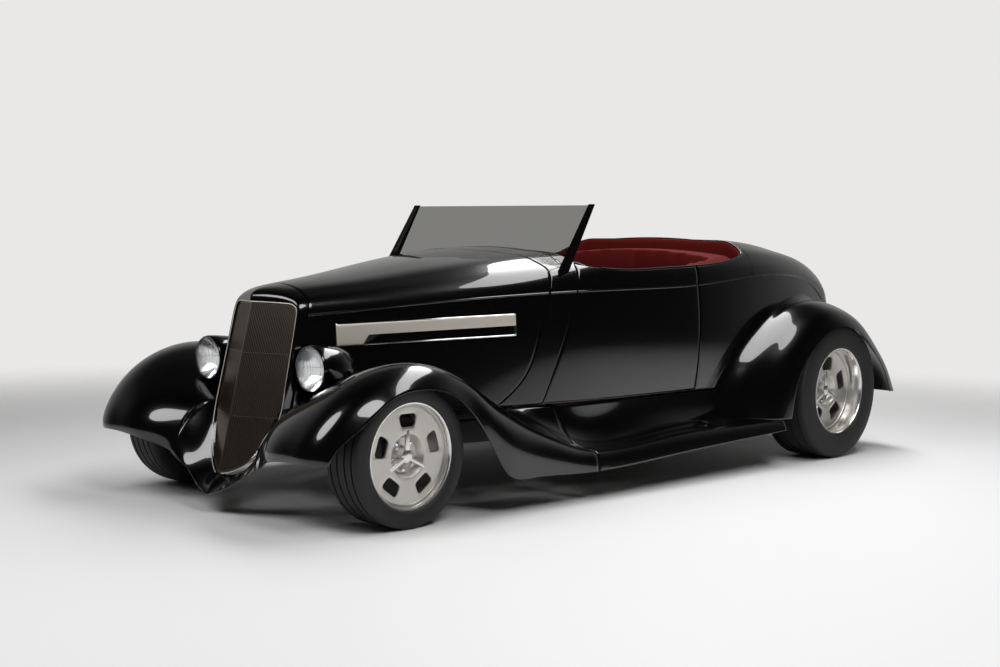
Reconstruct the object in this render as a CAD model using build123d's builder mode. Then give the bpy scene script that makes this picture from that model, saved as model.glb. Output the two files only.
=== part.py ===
"""A low two-seat roadster of the early nineteen-thirties style, lowered and smoothed, on five-window wheels.

Frame: +X forward, +Y to the car's left, +Z up, millimetres. The origin is on the floor, in the middle of the
car's length and width. The left side is modelled and the right side is its mirror image.
"""

import os
from collections import namedtuple
from math import asin, cos, hypot, radians, sin

from build123d import *

os.makedirs("parts", exist_ok=True)

# Driving dimensions of the whole car
WHEELBASE = 2896.0
FRONT_OVERHANG = 452.6
REAR_OVERHANG = 617.0
LENGTH = FRONT_OVERHANG + WHEELBASE + REAR_OVERHANG
FRONT_AXLE_X = LENGTH / 2 - FRONT_OVERHANG
REAR_AXLE_X = FRONT_AXLE_X - WHEELBASE

# Tyres and wheels
FRONT_TYRE_R = 282.0
FRONT_TYRE_W = 196.0
FRONT_RIM_R = 212.0
FRONT_WHEEL_Y = 698.0
REAR_TYRE_R = 347.0
REAR_TYRE_W = 262.0
REAR_RIM_R = 224.0
REAR_WHEEL_Y = 745.0

# Body walls and the gaps round moving panels
DOOR_WALL = 60.0
HOOD_WALL = 18.0
ROOF_WALL = 34.0
SHUT_GAP = 5.0
SEAT_GAP = 0.3
FENDER_WALL = 8.0


def front(dx):
    """A place measured forward from the front axle."""
    return FRONT_AXLE_X + dx


def rear(dx):
    """A place measured forward from the rear axle."""
    return REAR_AXLE_X + dx


# Sections of the hood and body, front to back. Each half section runs from the bottom edge, out over the
# side, in to the belt line, over the shoulder and up to the crown on the centre line.
BodySection = namedtuple(
    "BodySection", "x bottom_z bottom_y side_y belt_y belt_z shoulder_y shoulder_z crown_z"
)
BODY_SECTIONS = [
    BodySection(front(205), 400, 226, 212, 194, 792, 132, 871, 902),
    BodySection(front(70), 400, 272, 257, 238, 803, 170, 888, 921),
    BodySection(front(-250), 400, 384, 370, 351, 830, 255, 927, 964),
    BodySection(front(-600), 400, 500, 492, 475, 859, 350, 975, 1018),
    BodySection(front(-1015), 400, 608, 620, 606, 890, 471, 1022, 1066),
    BodySection(front(-1180), 400, 630, 650, 634, 895, 505, 1036, 1080),
    BodySection(front(-1500), 400, 650, 674, 657, 903, 540, 1055, 1096),
    BodySection(rear(964), 400, 656, 681, 662, 914, 552, 1078, 1114),
    BodySection(rear(546), 400, 644, 670, 650, 938, 535, 1096, 1128),
    BodySection(rear(196), 400, 612, 642, 622, 950, 490, 1082, 1112),
    BodySection(rear(-104), 400, 570, 602, 580, 928, 408, 1044, 1074),
    BodySection(rear(-304), 400, 526, 560, 545, 870, 370, 985, 1015),
    BodySection(rear(-434), 400, 470, 510, 488, 772, 310, 885, 915),
    BodySection(rear(-514), 400, 360, 392, 360, 630, 200, 728, 754),
    BodySection(rear(-556), 400, 190, 210, 182, 515, 85, 572, 588),
]
COWL_START, TAIL_END = 4, 13
SHOULDER_BULGE = 0.17


def shoulder_middle(section):
    """The point half way over the shoulder arc."""
    dy = section.belt_y - section.shoulder_y
    dz = section.shoulder_z - section.belt_z
    return (
        (section.belt_y + section.shoulder_y) / 2 + SHOULDER_BULGE * dz,
        (section.belt_z + section.shoulder_z) / 2 + SHOULDER_BULGE * dy,
    )


def body_sketch(section):
    """The closed outline of one body section as a face across the car."""
    s = section
    side_z = (s.bottom_z + s.belt_z) / 2
    mid_y, mid_z = shoulder_middle(s)
    with BuildSketch(Plane.YZ.offset(s.x)) as outline:
        with BuildLine():
            Line((-s.bottom_y, s.bottom_z), (s.bottom_y, s.bottom_z))
            ThreePointArc((s.bottom_y, s.bottom_z), (s.side_y, side_z), (s.belt_y, s.belt_z))
            ThreePointArc((s.belt_y, s.belt_z), (mid_y, mid_z), (s.shoulder_y, s.shoulder_z))
            ThreePointArc((s.shoulder_y, s.shoulder_z), (0, s.crown_z), (-s.shoulder_y, s.shoulder_z))
            ThreePointArc((-s.shoulder_y, s.shoulder_z), (-mid_y, mid_z), (-s.belt_y, s.belt_z))
            ThreePointArc((-s.belt_y, s.belt_z), (-s.side_y, side_z), (-s.bottom_y, s.bottom_z))
        make_face()
    return outline.sketch


def inset(section, wall, roof):
    """The same section taken in by the wall and the roof skin, and carried down through the open bottom."""
    s = section
    return s._replace(
        bottom_z=s.bottom_z - 60,
        bottom_y=s.bottom_y - wall,
        side_y=s.side_y - wall,
        belt_y=s.belt_y - wall,
        shoulder_y=s.shoulder_y - wall * 0.7,
        shoulder_z=s.shoulder_z - roof,
        crown_z=s.crown_z - roof,
    )


def body_loft(sections, wall=0.0, roof=0.0):
    """A solid through some of the body's sections, taken in by a wall and a roof skin."""
    shapes = [body_sketch(inset(s, wall, roof) if wall else s) for s in sections]
    with BuildPart() as body:
        loft(sections=shapes)
    return body.part


body_outer = body_loft(BODY_SECTIONS)
body_inner = body_loft(BODY_SECTIONS[COWL_START:TAIL_END], DOOR_WALL, ROOF_WALL)
hood_inner = body_loft(BODY_SECTIONS[: COWL_START + 1], HOOD_WALL, HOOD_WALL)

# Shut lines in the side view, as places (x, z). The hood ends in a sweeping line ahead of the door.
HIGH, LOW, WIDE = 1300.0, 300.0, 800.0
HOOD_REAR = (
    (front(-715), 400),
    (front(-800), 470),
    (front(-915), 710),
    (front(-972), 880),
    (front(-1000), 960),
    (front(-1012), HIGH),
)
DOOR_FRONT = ((front(-896), LOW), (front(-1268), HIGH))
DOOR_REAR_X = rear(950)
DOOR_BOTTOM_Z = 402.0
BEAD_FRONT, BEAD_REAR = (front(205), 792), (front(-1015), 890)
GRILLE_RAKE = 0.2367
GRILLE_SWEEP = 0.405
GRILLE_FOOT_X = front(382)
HOOD_FRONT_FOOT_X = GRILLE_FOOT_X - 118

# The cockpit opening and the deck lid in plan, as corners (x, half width), rounded
COCKPIT_PLAN = (
    (front(-1172), 505),
    (front(-1260), 580),
    (front(-1900), 596),
    (rear(580), 580),
    (rear(462), 430),
)
COCKPIT_CORNER_R = 75.0
# The rim of the cockpit in the side view: it dips along the doors and climbs to the tail behind the seat
COCKPIT_RIM = (
    (front(-1174), 1006),
    (front(-1280), 993),
    (front(-1420), 983),
    (front(-1700), 989),
    (front(-1980), 999),
    (rear(628), 1026),
    (rear(538), 1045),
    (rear(490), 1080),
    (rear(462), 1135),
)
DOOR_TOP_Y = 560.0
DECK_PLAN = ((rear(330), 365), (rear(-330), 250))
DECK_CORNER_R = 55.0
WHEELHOUSE_Y = REAR_WHEEL_Y - REAR_TYRE_W / 2 - 16
WHEELHOUSE_GAP = 45.0


def mirrored_plan(corners, radius, grow=0.0):
    """A closed plan outline from its corners on the left, mirrored to the right and rounded."""
    (first_x, first_y), (last_x, last_y) = corners[0], corners[-1]
    left = [(first_x + grow, first_y + grow), *corners[1:-1], (last_x - grow, last_y + grow)]
    right = [(x, -y) for x, y in reversed(left)]
    with BuildSketch(Plane.XY) as plan:
        with BuildLine():
            Polyline(*left, *right, close=True)
        make_face()
        fillet(plan.vertices(), radius)
    return plan.sketch


def side_prism(points, low_y, high_y):
    """A block with its outline in the side view, between two places across the car."""
    with BuildPart() as block:
        with BuildSketch(Plane.XZ.offset(-high_y)):
            with BuildLine():
                Polyline(*points, close=True)
            make_face()
        extrude(amount=high_y - low_y)
    return block.part


def moved_line(points, dx):
    return [(x + dx, z) for x, z in points]


cockpit_plan = mirrored_plan(COCKPIT_PLAN, COCKPIT_CORNER_R)
deck_hole_plan = mirrored_plan(DECK_PLAN, DECK_CORNER_R, SHUT_GAP)
deck_lid_plan = mirrored_plan(DECK_PLAN, DECK_CORNER_R)

with BuildPart() as body_shell:
    add(body_outer)
    add(body_inner, mode=Mode.SUBTRACT)
    add(hood_inner, mode=Mode.SUBTRACT)
    extrude(cockpit_plan.moved(Location((0, 0, 860))), amount=400, mode=Mode.SUBTRACT)
    add(
        side_prism([*COCKPIT_RIM, (COCKPIT_RIM[-1][0], HIGH), (COCKPIT_RIM[0][0], HIGH)], -WIDE, WIDE),
        mode=Mode.SUBTRACT,
    )

hood_zone = side_prism([(front(700), LOW), *HOOD_REAR, (front(700), HIGH)], -WIDE, WIDE)
cowl_zone = side_prism([*HOOD_REAR, *reversed(DOOR_FRONT)], -WIDE, WIDE)
rear_zone = side_prism(
    [(DOOR_REAR_X, LOW), (DOOR_REAR_X, HIGH), (rear(-900), HIGH), (rear(-900), LOW)], -WIDE, WIDE
)


def door_zone(gap, low_y, high_y, sill=DOOR_BOTTOM_Z, top=HIGH):
    """The space of one door, in from its shut lines by a gap."""
    (low_x, low_z), (high_x, high_z) = moved_line(DOOR_FRONT, -gap)
    high_x = low_x + (high_x - low_x) * (top - low_z) / (high_z - low_z)
    high_z = top
    sill_x = low_x + (high_x - low_x) * (sill - low_z) / (high_z - low_z)
    back = DOOR_REAR_X + gap
    return side_prism([(sill_x, sill), (high_x, high_z), (back, high_z), (back, sill)], low_y, high_y)


dash_zone = side_prism(
    [(front(-600), 930), (front(-600), HIGH), (front(-1400), HIGH), (front(-1400), 930)],
    SHUT_GAP - DOOR_TOP_Y,
    DOOR_TOP_Y - SHUT_GAP,
)

with BuildPart() as cowl:
    add(cowl_zone)
    add(dash_zone)
    add(hood_zone, mode=Mode.SUBTRACT)
    add(body_shell.part, mode=Mode.INTERSECT)

with BuildPart() as rear_body:
    add(body_shell.part)
    add(rear_zone, mode=Mode.INTERSECT)
    extrude(deck_hole_plan.moved(Location((0, 0, 900))), amount=400, mode=Mode.SUBTRACT)
    for side in (1, -1):
        with BuildSketch(Plane.XZ.offset(-side * WHEELHOUSE_Y)):
            with Locations((REAR_AXLE_X, REAR_TYRE_R)):
                Circle(REAR_TYRE_R + WHEELHOUSE_GAP)
        extrude(amount=-side * 300, mode=Mode.SUBTRACT)

with BuildPart() as deck_lid:
    add(body_shell.part)
    extrude(deck_lid_plan.moved(Location((0, 0, 900))), amount=400, mode=Mode.INTERSECT)

with BuildPart() as door_left:
    add(body_shell.part)
    add(door_zone(SHUT_GAP, DOOR_TOP_Y, WIDE), mode=Mode.INTERSECT)

TRIM_WALL = 14.0
TRIM_INSET = 16.0
TRIM_TOP_Z = 935.0
trim_zone = door_zone(SHUT_GAP + TRIM_INSET, 300, WIDE, DOOR_BOTTOM_Z + TRIM_INSET, TRIM_TOP_Z)
inside_trim = body_loft(BODY_SECTIONS[COWL_START:TAIL_END], DOOR_WALL + TRIM_WALL, ROOF_WALL + TRIM_WALL)
with BuildPart() as door_trim_left:
    add(body_inner)
    add(inside_trim, mode=Mode.SUBTRACT)
    add(trim_zone, mode=Mode.INTERSECT)

# The hood: a top that lifts, down to the bead line, and two fixed sides below it
hood_front = side_prism(
    [
        (HOOD_FRONT_FOOT_X - GRILLE_RAKE * LOW, LOW),
        (HOOD_FRONT_FOOT_X - GRILLE_RAKE * HIGH, HIGH),
        (front(700), HIGH),
        (front(700), LOW),
    ],
    -WIDE,
    WIDE,
)


def over_bead(lift):
    """Everything above the bead line, which is raised or lowered by half the shut gap."""
    (x0, z0), (x1, z1) = BEAD_FRONT, BEAD_REAR
    slope = (z1 - z0) / (x1 - x0)
    ahead, behind = front(700), front(-1200)
    line = [(ahead, z0 + slope * (ahead - x0) + lift), (behind, z0 + slope * (behind - x0) + lift)]
    return side_prism([*line, (behind, HIGH), (ahead, HIGH)], -WIDE, WIDE)


with BuildPart() as hood_shell:
    add(body_shell.part)
    add(side_prism([(front(700), LOW), *moved_line(HOOD_REAR, SHUT_GAP), (front(700), HIGH)], -WIDE, WIDE),
        mode=Mode.INTERSECT)
    add(hood_front, mode=Mode.SUBTRACT)

with BuildPart() as hood_top:
    add(hood_shell.part)
    add(over_bead(SHUT_GAP / 2), mode=Mode.INTERSECT)

with BuildPart() as hood_sides:
    add(hood_shell.part)
    add(over_bead(-SHUT_GAP / 2), mode=Mode.SUBTRACT)

# The front fender, in sections turned about the front hub and then square across the car behind the wheel.
# Heights of the turned sections are radii from the hub, heights of the square ones are above the floor.
FenderSection = namedtuple(
    "FenderSection",
    "plane inner_y inner_h rise_y rise_h shoulder_y shoulder_h bulge_y bulge_h lip_y lip_h",
)


def turned(axle_x, hub_z, angle, drop=0):
    """A plane through the hub line, lying forward at 0 degrees and upright over the hub at 90."""
    a = radians(angle)
    return Plane(origin=(axle_x, 0, hub_z - drop), x_dir=(0, 1, 0), z_dir=(sin(a), 0, -cos(a)))


def square(x):
    """A plane straight across the car."""
    return Plane(origin=(x, 0, 0), x_dir=(0, 1, 0), z_dir=(1, 0, 0))


def inward(start, through, end, at):
    """The unit normal at one point of a three-point arc, to the right of the way it runs."""
    (ax, ay), (bx, by), (cx, cy) = start, through, end
    turn = (bx - ax) * (cy - by) - (by - ay) * (cx - bx)
    if abs(turn) < 1.0:
        span = hypot(cx - ax, cy - ay)
        return Vector((cy - ay) / span, (ax - cx) / span)
    d = 2 * (ax * (by - cy) + bx * (cy - ay) + cx * (ay - by))
    a2, b2, c2 = ax * ax + ay * ay, bx * bx + by * by, cx * cx + cy * cy
    centre_x = (a2 * (by - cy) + b2 * (cy - ay) + c2 * (ay - by)) / d
    centre_y = (a2 * (cx - bx) + b2 * (ax - cx) + c2 * (bx - ax)) / d
    toward = Vector(centre_x - at[0], centre_y - at[1]).normalized()
    return toward if turn < 0 else toward * -1


def fender_sketch(section, wall=FENDER_WALL):
    """One thin fender section: the outside from the inner edge to the lip, and the inside a wall below it."""
    f = section
    inner, rise = (f.inner_y, f.inner_h), (f.rise_y, f.rise_h)
    shoulder, bulge, lip = (f.shoulder_y, f.shoulder_h), (f.bulge_y, f.bulge_h), (f.lip_y, f.lip_h)
    top, side = (inner, rise, shoulder), (shoulder, bulge, lip)
    at_shoulder = (inward(*top, shoulder) + inward(*side, shoulder)).normalized()
    normals = (inward(*top, inner), inward(*top, rise), at_shoulder, inward(*side, bulge), inward(*side, lip))
    inside = [Vector(*point) + normal * wall for point, normal in zip((*top, bulge, lip), normals)]
    with BuildSketch(f.plane) as outline:
        with BuildLine():
            ThreePointArc(inner, rise, shoulder)
            ThreePointArc(shoulder, bulge, lip)
            Line(lip, inside[4])
            ThreePointArc(inside[4], inside[3], inside[2])
            ThreePointArc(inside[2], inside[1], inside[0])
            Line(inside[0], inner)
        make_face()
    return outline.sketch


FT = FRONT_TYRE_R
FRONT_FENDER = [
    FenderSection(turned(front(0), FT, -14), 292, 378, 440, 392, 600, 412, 722, 405, 785, 372),
    FenderSection(turned(front(0), FT, 0), 292, 345, 440, 432, 600, 447, 722, 440, 785, 405),
    FenderSection(turned(front(0), FT, 25), 290, 282, 430, 362, 630, 407, 765, 388, 832, 322),
    FenderSection(turned(front(0), FT, 55), 250, 190, 450, 290, 650, 360, 790, 338, 847, 282),
    FenderSection(turned(front(0), FT, 90), 250, 172, 460, 272, 670, 352, 802, 326, 850, 263),
    FenderSection(square(front(-150)), 300, 440, 490, 556, 680, 622, 807, 592, 851, 517),
    FenderSection(square(front(-300)), 360, 430, 530, 532, 695, 570, 816, 522, 852, 392),
    FenderSection(square(front(-400)), 400, 410, 560, 486, 705, 512, 820, 450, 853, 250),
    FenderSection(square(front(-470)), 430, 398, 575, 455, 712, 470, 823, 402, 854, 165),
    FenderSection(square(front(-620)), 520, 392, 615, 392, 726, 382, 829, 320, 856, 142),
    FenderSection(square(front(-820)), 590, 390, 655, 332, 740, 292, 836, 248, 859, 134),
    FenderSection(square(front(-1011)), 636, 388, 668, 276, 748, 224, 842, 204, 862, 128),
]

LIP_CORNER = 8


def trimmed_by_body(lofts):
    """Thin lofted skins joined into one piece and cut back to the body's side."""
    with BuildPart() as skin:
        for sections in lofts:
            loft(sections=[fender_sketch(f) for f in sections])
        add(body_outer, mode=Mode.SUBTRACT)
    return skin.part


front_fender = trimmed_by_body((FRONT_FENDER[: LIP_CORNER + 1], FRONT_FENDER[LIP_CORNER:]))

RT = REAR_TYRE_R
REAR_FENDER = [
    FenderSection(turned(rear(0), RT, 0, 107), 660, 810, 735, 730, 800, 628, 862, 543, 882, 455),
    FenderSection(turned(rear(0), RT, 12), 640, 748, 730, 664, 800, 580, 864, 490, 885, 412),
    FenderSection(turned(rear(0), RT, 35), 610, 605, 720, 560, 800, 500, 866, 434, 886, 366),
    FenderSection(turned(rear(0), RT, 62), 570, 508, 700, 496, 795, 462, 864, 404, 886, 338),
    FenderSection(turned(rear(0), RT, 90), 520, 472, 680, 462, 788, 438, 862, 388, 886, 333),
    FenderSection(turned(rear(0), RT, 120), 460, 472, 660, 461, 782, 438, 860, 388, 886, 335),
    FenderSection(turned(rear(0), RT, 148), 400, 500, 640, 487, 776, 464, 856, 416, 884, 360),
    FenderSection(turned(rear(0), RT, 170), 360, 580, 620, 566, 770, 542, 850, 500, 881, 430),
    FenderSection(turned(rear(0), RT, 184), 340, 604, 610, 617, 770, 608, 846, 576, 878, 488),
]

rear_fender = trimmed_by_body((REAR_FENDER,))

with BuildPart() as rear_fender_left:
    add(rear_fender)


def mirror_piece(piece):
    """The same piece on the other side of the car."""
    with BuildPart() as twin:
        mirror(piece, about=Plane.XZ, mode=Mode.ADD)
    return twin


def both_sides(piece):
    """A left piece and its mirror image in one node."""
    with BuildPart() as pair:
        add(piece)
        mirror(piece, about=Plane.XZ)
    return pair


# Running board: an apron from the body's bottom edge, a flat tread and a rolled outer edge
BOARD_REAR_X = rear(826)
BOARD_TAIL_X = rear(462)
BOARD_TOP_Z = 239.7
BOARD = [
    FRONT_FENDER[-1]._replace(plane=square(front(-1011) - SEAT_GAP)),
    FenderSection(square(front(-1500)), 644, 388, 672, 284, 748, 233, 844, 214, 866, 146),
    FenderSection(square(BOARD_REAR_X), 646, 388, 674, 292, 748, 245, 846, 231, 868, 170),
]
with BuildPart() as running_board:
    loft(sections=[fender_sketch(section) for section in BOARD])
    with BuildSketch(Plane.XY.offset(BOARD_TOP_Z - 50)):
        with BuildLine():
            Polyline(
                (BOARD_REAR_X, 690),
                (BOARD_REAR_X, 868),
                (BOARD_TAIL_X, 882),
                (BOARD_TAIL_X, 846),
                (rear(640), 760),
                close=True,
            )
        make_face()
    extrude(amount=50)
running_boards = both_sides(running_board.part)


# Grille: a vee of fine upright bars in a painted shell, raked back, with a prow below it
GRILLE_TOP_Z = 852.0
GRILLE_HALF = 226.0
GRILLE_BAR = 3.6
GRILLE_BARS_PER_SIDE = 28
GRILLE_DEPTH = 12.0
SHELL_LEAD = 7.0
SHELL_EDGE = 12.0


def grille_outline(grow):
    """The shield outline of the grille in the front view, grown outward, as a flat sketch to be placed."""
    half, top = GRILLE_HALF + grow, GRILLE_TOP_Z + grow
    with BuildSketch() as outline:
        with BuildLine():
            ThreePointArc((0, 160 - grow), (172 + grow * 0.7, 258 - grow * 0.7), (half, 440))
            Line((half, 440), (half - 14, top - 44))
            ThreePointArc((half - 14, top - 44), (half - 30, top - 14), (half - 66, top - 4))
            ThreePointArc((half - 66, top - 4), (0, top), (66 - half, top - 4))
            ThreePointArc((66 - half, top - 4), (30 - half, top - 14), (14 - half, top - 44))
            Line((14 - half, top - 44), (-half, 440))
            ThreePointArc((-half, 440), (-172 - grow * 0.7, 258 - grow * 0.7), (0, 160 - grow))
        make_face()
    return outline.sketch


def vee_slab(front_x, back_x, half=420.0, height=1000.0):
    """A vee-shaped slab that leans back with the grille, between two places of its ridge at the floor."""
    wing = GRILLE_SWEEP * half
    with BuildPart() as slab:
        with BuildSketch(Plane.XY):
            with BuildLine():
                Polyline(
                    (front_x, 0),
                    (front_x - wing, half),
                    (back_x - wing, half),
                    (back_x, 0),
                    (back_x - wing, -half),
                    (front_x - wing, -half),
                    close=True,
                )
            make_face()
        extrude(amount=height * hypot(1, GRILLE_RAKE), dir=(-GRILLE_RAKE, 0, 1))
    return slab.part


GRILLE_PITCH = (GRILLE_HALF - 14) / (GRILLE_BARS_PER_SIDE + 0.5)
with BuildPart() as grille_bars:
    with BuildSketch(Plane.YZ.offset(front(-50))):
        add(grille_outline(0))
        add(grille_outline(-9), mode=Mode.SUBTRACT)
        with Locations((0, 390), (0, 645)):
            Rectangle(2 * GRILLE_HALF - 24, 3)
        for bar in range(-GRILLE_BARS_PER_SIDE, GRILLE_BARS_PER_SIDE + 1):
            reach = abs(bar) / GRILLE_BARS_PER_SIDE
            foot = 166 + 250 * reach**2.6
            with Locations((bar * GRILLE_PITCH, (foot + GRILLE_TOP_Z - 4) / 2)):
                Rectangle(GRILLE_BAR if bar else 2 * GRILLE_BAR, GRILLE_TOP_Z - 4 - foot)
        add(grille_outline(0), mode=Mode.INTERSECT)
    extrude(amount=600)
    add(vee_slab(GRILLE_FOOT_X, GRILLE_FOOT_X - GRILLE_DEPTH), mode=Mode.INTERSECT)

SHELL_BACK_X = HOOD_FRONT_FOOT_X + SHUT_GAP
shell_front = BODY_SECTIONS[1]
shell_mid_y, shell_mid_z = shoulder_middle(shell_front)
with BuildPart() as shell_body:
    with BuildSketch(Plane.YZ.offset(front(-50))):
        with BuildLine():
            ThreePointArc((0, 160 - SHELL_EDGE), (181, 249), (GRILLE_HALF + SHELL_EDGE, 440))
            Line((GRILLE_HALF + SHELL_EDGE, 440), (shell_front.belt_y, shell_front.belt_z))
            ThreePointArc(
                (shell_front.belt_y, shell_front.belt_z),
                (shell_mid_y, shell_mid_z),
                (shell_front.shoulder_y, shell_front.shoulder_z),
            )
            ThreePointArc(
                (shell_front.shoulder_y, shell_front.shoulder_z),
                (0, shell_front.crown_z - 8),
                (-shell_front.shoulder_y, shell_front.shoulder_z),
            )
            ThreePointArc(
                (-shell_front.shoulder_y, shell_front.shoulder_z),
                (-shell_mid_y, shell_mid_z),
                (-shell_front.belt_y, shell_front.belt_z),
            )
            Line((-shell_front.belt_y, shell_front.belt_z), (-GRILLE_HALF - SHELL_EDGE, 440))
            ThreePointArc((-GRILLE_HALF - SHELL_EDGE, 440), (-181, 249), (0, 160 - SHELL_EDGE))
        make_face()
        add(grille_outline(SEAT_GAP), mode=Mode.SUBTRACT)
    extrude(amount=600)
    add(vee_slab(GRILLE_FOOT_X + SHELL_LEAD, front(-700)), mode=Mode.INTERSECT)
    add(
        side_prism(
            [
                (SHELL_BACK_X, 0),
                (SHELL_BACK_X - GRILLE_RAKE * HIGH, HIGH),
                (front(700), HIGH),
                (front(700), 0),
            ],
            -WIDE,
            WIDE,
        ),
        mode=Mode.INTERSECT,
    )

# Prow below the grille, in fore-and-aft sections: lower edge, middle and upper edge as (x, z)
ProwSection = namedtuple("ProwSection", "y low mid high")
PROW = [
    ProwSection(0, (393, 76), (372, 116), (338, 152)),
    ProwSection(112, (379, 112), (330, 145), (272, 184)),
    ProwSection(205, (360, 162), (290, 240), (204, 336)),
    ProwSection(284, (365, 207), (300, 345), (112, 450)),
]
PROW_WALL = 9.0


def prow_sketch(section):
    """One thin prow section in a plane along the car."""
    low, mid, high = [(front(x), z) for x, z in (section.low, section.mid, section.high)]
    back = [Vector(*at) - inward(low, mid, high, at) * PROW_WALL for at in (low, mid, high)]
    with BuildSketch(Plane.XZ.offset(-section.y)) as outline:
        with BuildLine():
            ThreePointArc(low, mid, high)
            Line(high, back[2])
            ThreePointArc(back[2], back[1], back[0])
            Line(back[0], low)
        make_face()
    return outline.sketch


with BuildPart() as prow:
    loft(sections=[prow_sketch(p) for p in PROW])
    mirror(about=Plane.XZ)

with BuildPart() as grille_shell:
    add(shell_body.part)
    add(prow.part)
    with BuildSketch(Plane.YZ.offset(front(-50))):
        add(grille_outline(SEAT_GAP))
    extrude(amount=600, mode=Mode.SUBTRACT)



def tube(start, end, radius, bore=0.0):
    """A round bar or tube between two places."""
    begin, finish = Vector(*start), Vector(*end)
    along = finish - begin
    with BuildPart() as bar:
        with BuildSketch(Plane(origin=begin, z_dir=along)):
            Circle(radius)
            if bore:
                Circle(bore, mode=Mode.SUBTRACT)
        extrude(amount=along.length)
    return bar.part


def block(x_range, y_range, z_range):
    """A plain box between places along, across and up."""
    (x0, x1), (z0, z1) = x_range, z_range
    return side_prism([(x0, z0), (x1, z0), (x1, z1), (x0, z1)], *y_range)


# Windshield: a flat glass leaned back between two blade posts that stand on the cowl
POST_FOOT = (front(-1047), 931)
POST_HEAD = (front(-1257), 1276)
POST_Y = 590.0
POST_THICK = 18.0
GLASS_THICK = 6.0
rake_x = (POST_HEAD[0] - POST_FOOT[0]) / (POST_HEAD[1] - POST_FOOT[1])
with BuildPart() as post:
    add(
        side_prism(
            [
                (POST_FOOT[0] + 46, POST_FOOT[1] - 30),
                (POST_FOOT[0] + 4, POST_FOOT[1] + 40),
                (POST_HEAD[0] + 12, POST_HEAD[1]),
                (POST_HEAD[0] - 12, POST_HEAD[1]),
                (POST_FOOT[0] - 46, POST_FOOT[1] + 30),
                (POST_FOOT[0] - 30, POST_FOOT[1] - 30),
            ],
            POST_Y - POST_THICK,
            POST_Y,
        )
    )
    add(body_outer, mode=Mode.SUBTRACT)
windshield_posts = both_sides(post.part)

with BuildPart() as windshield_glass:
    add(
        side_prism(
            [
                (POST_FOOT[0] - GLASS_THICK / 2, POST_FOOT[1]),
                (POST_FOOT[0] + GLASS_THICK / 2, POST_FOOT[1]),
                (POST_HEAD[0] + GLASS_THICK / 2 + 3, POST_HEAD[1] - 5),
                (POST_HEAD[0] - GLASS_THICK / 2 + 3, POST_HEAD[1] - 5),
            ],
            POST_THICK - POST_Y,
            POST_Y - POST_THICK,
        )
    )
    add(body_outer, mode=Mode.SUBTRACT)

# Headlamps: bullet buckets on short stands, with clear lenses in their rims
LAMP_X, LAMP_Y, LAMP_Z = front(148), 352.0, 596.0
LAMP_R = 95.0
LENS_R = 89.0
LAMP_LENGTH = 205.0
LENS_DOME = 18.0
STAND_R = 18.0
STAND_FOOT_Z = 445.0
stand_x = LAMP_X - 75
cap_r = 62.0
cap_x = cap_r - LAMP_LENGTH
TAIL_FLAT_R = 8.0
tail_x = cap_x - (cap_r**2 - TAIL_FLAT_R**2) ** 0.5
dome_r = (LENS_R**2 + LENS_DOME**2) / (2 * LENS_DOME)
dome_half = asin(LENS_R / dome_r) / 2
lamp_plane = Plane(origin=(LAMP_X, LAMP_Y, LAMP_Z), x_dir=(1, 0, 0), z_dir=(0, 0, 1))
with BuildPart() as bucket:
    with BuildSketch(lamp_plane):
        with BuildLine():
            Polyline(
                (tail_x, TAIL_FLAT_R),
                (tail_x, 0),
                (-10, 0),
                (-10, LENS_R + SEAT_GAP),
                (6, LENS_R + SEAT_GAP),
                (6, LAMP_R),
                (-40, LAMP_R - 2),
                (cap_x, cap_r),
            )
            ThreePointArc((cap_x, cap_r), (cap_x - cap_r * 0.7071, cap_r * 0.7071), (tail_x, TAIL_FLAT_R))
        make_face()
    revolve(axis=Axis((LAMP_X, LAMP_Y, LAMP_Z), (1, 0, 0)))
    add(tube((stand_x, LAMP_Y, LAMP_Z - 40), (stand_x, LAMP_Y, STAND_FOOT_Z), STAND_R))
headlamp_buckets = both_sides(bucket.part)
with BuildPart() as lens:
    with BuildSketch(lamp_plane):
        with BuildLine():
            Polyline((4 + LENS_DOME, 0), (-9, 0), (-9, LENS_R), (4, LENS_R))
            ThreePointArc(
                (4, LENS_R),
                (4 + LENS_DOME - dome_r * (1 - cos(dome_half)), dome_r * sin(dome_half)),
                (4 + LENS_DOME, 0),
            )
        make_face()
    revolve(axis=Axis((LAMP_X, LAMP_Y, LAMP_Z), (1, 0, 0)))
    add(bucket.part, mode=Mode.SUBTRACT)
headlamp_lenses = both_sides(lens.part)

# Below its nose the front fender runs on down to the prow, cut to a rising edge in the front view
APRON_LOW, APRON_MID, APRON_END = (200, 165), (400, 250), (620, FT)
with BuildPart() as nose_cut:
    with BuildSketch(Plane.YZ.offset(front(200))):
        with BuildLine():
            ThreePointArc(APRON_LOW, APRON_MID, APRON_END)
            Polyline(APRON_END, (WIDE, FT), (WIDE, 0), (APRON_LOW[0], 0), APRON_LOW)
        make_face()
    extrude(amount=500)

with BuildPart() as front_fender_left:
    add(front_fender)
    stand_hole = tube((stand_x, LAMP_Y, LAMP_Z), (stand_x, LAMP_Y, STAND_FOOT_Z - 60), STAND_R + SEAT_GAP)
    add(stand_hole, mode=Mode.SUBTRACT)
    add(nose_cut.part, mode=Mode.SUBTRACT)
    add(grille_shell.part, mode=Mode.SUBTRACT)

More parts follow.
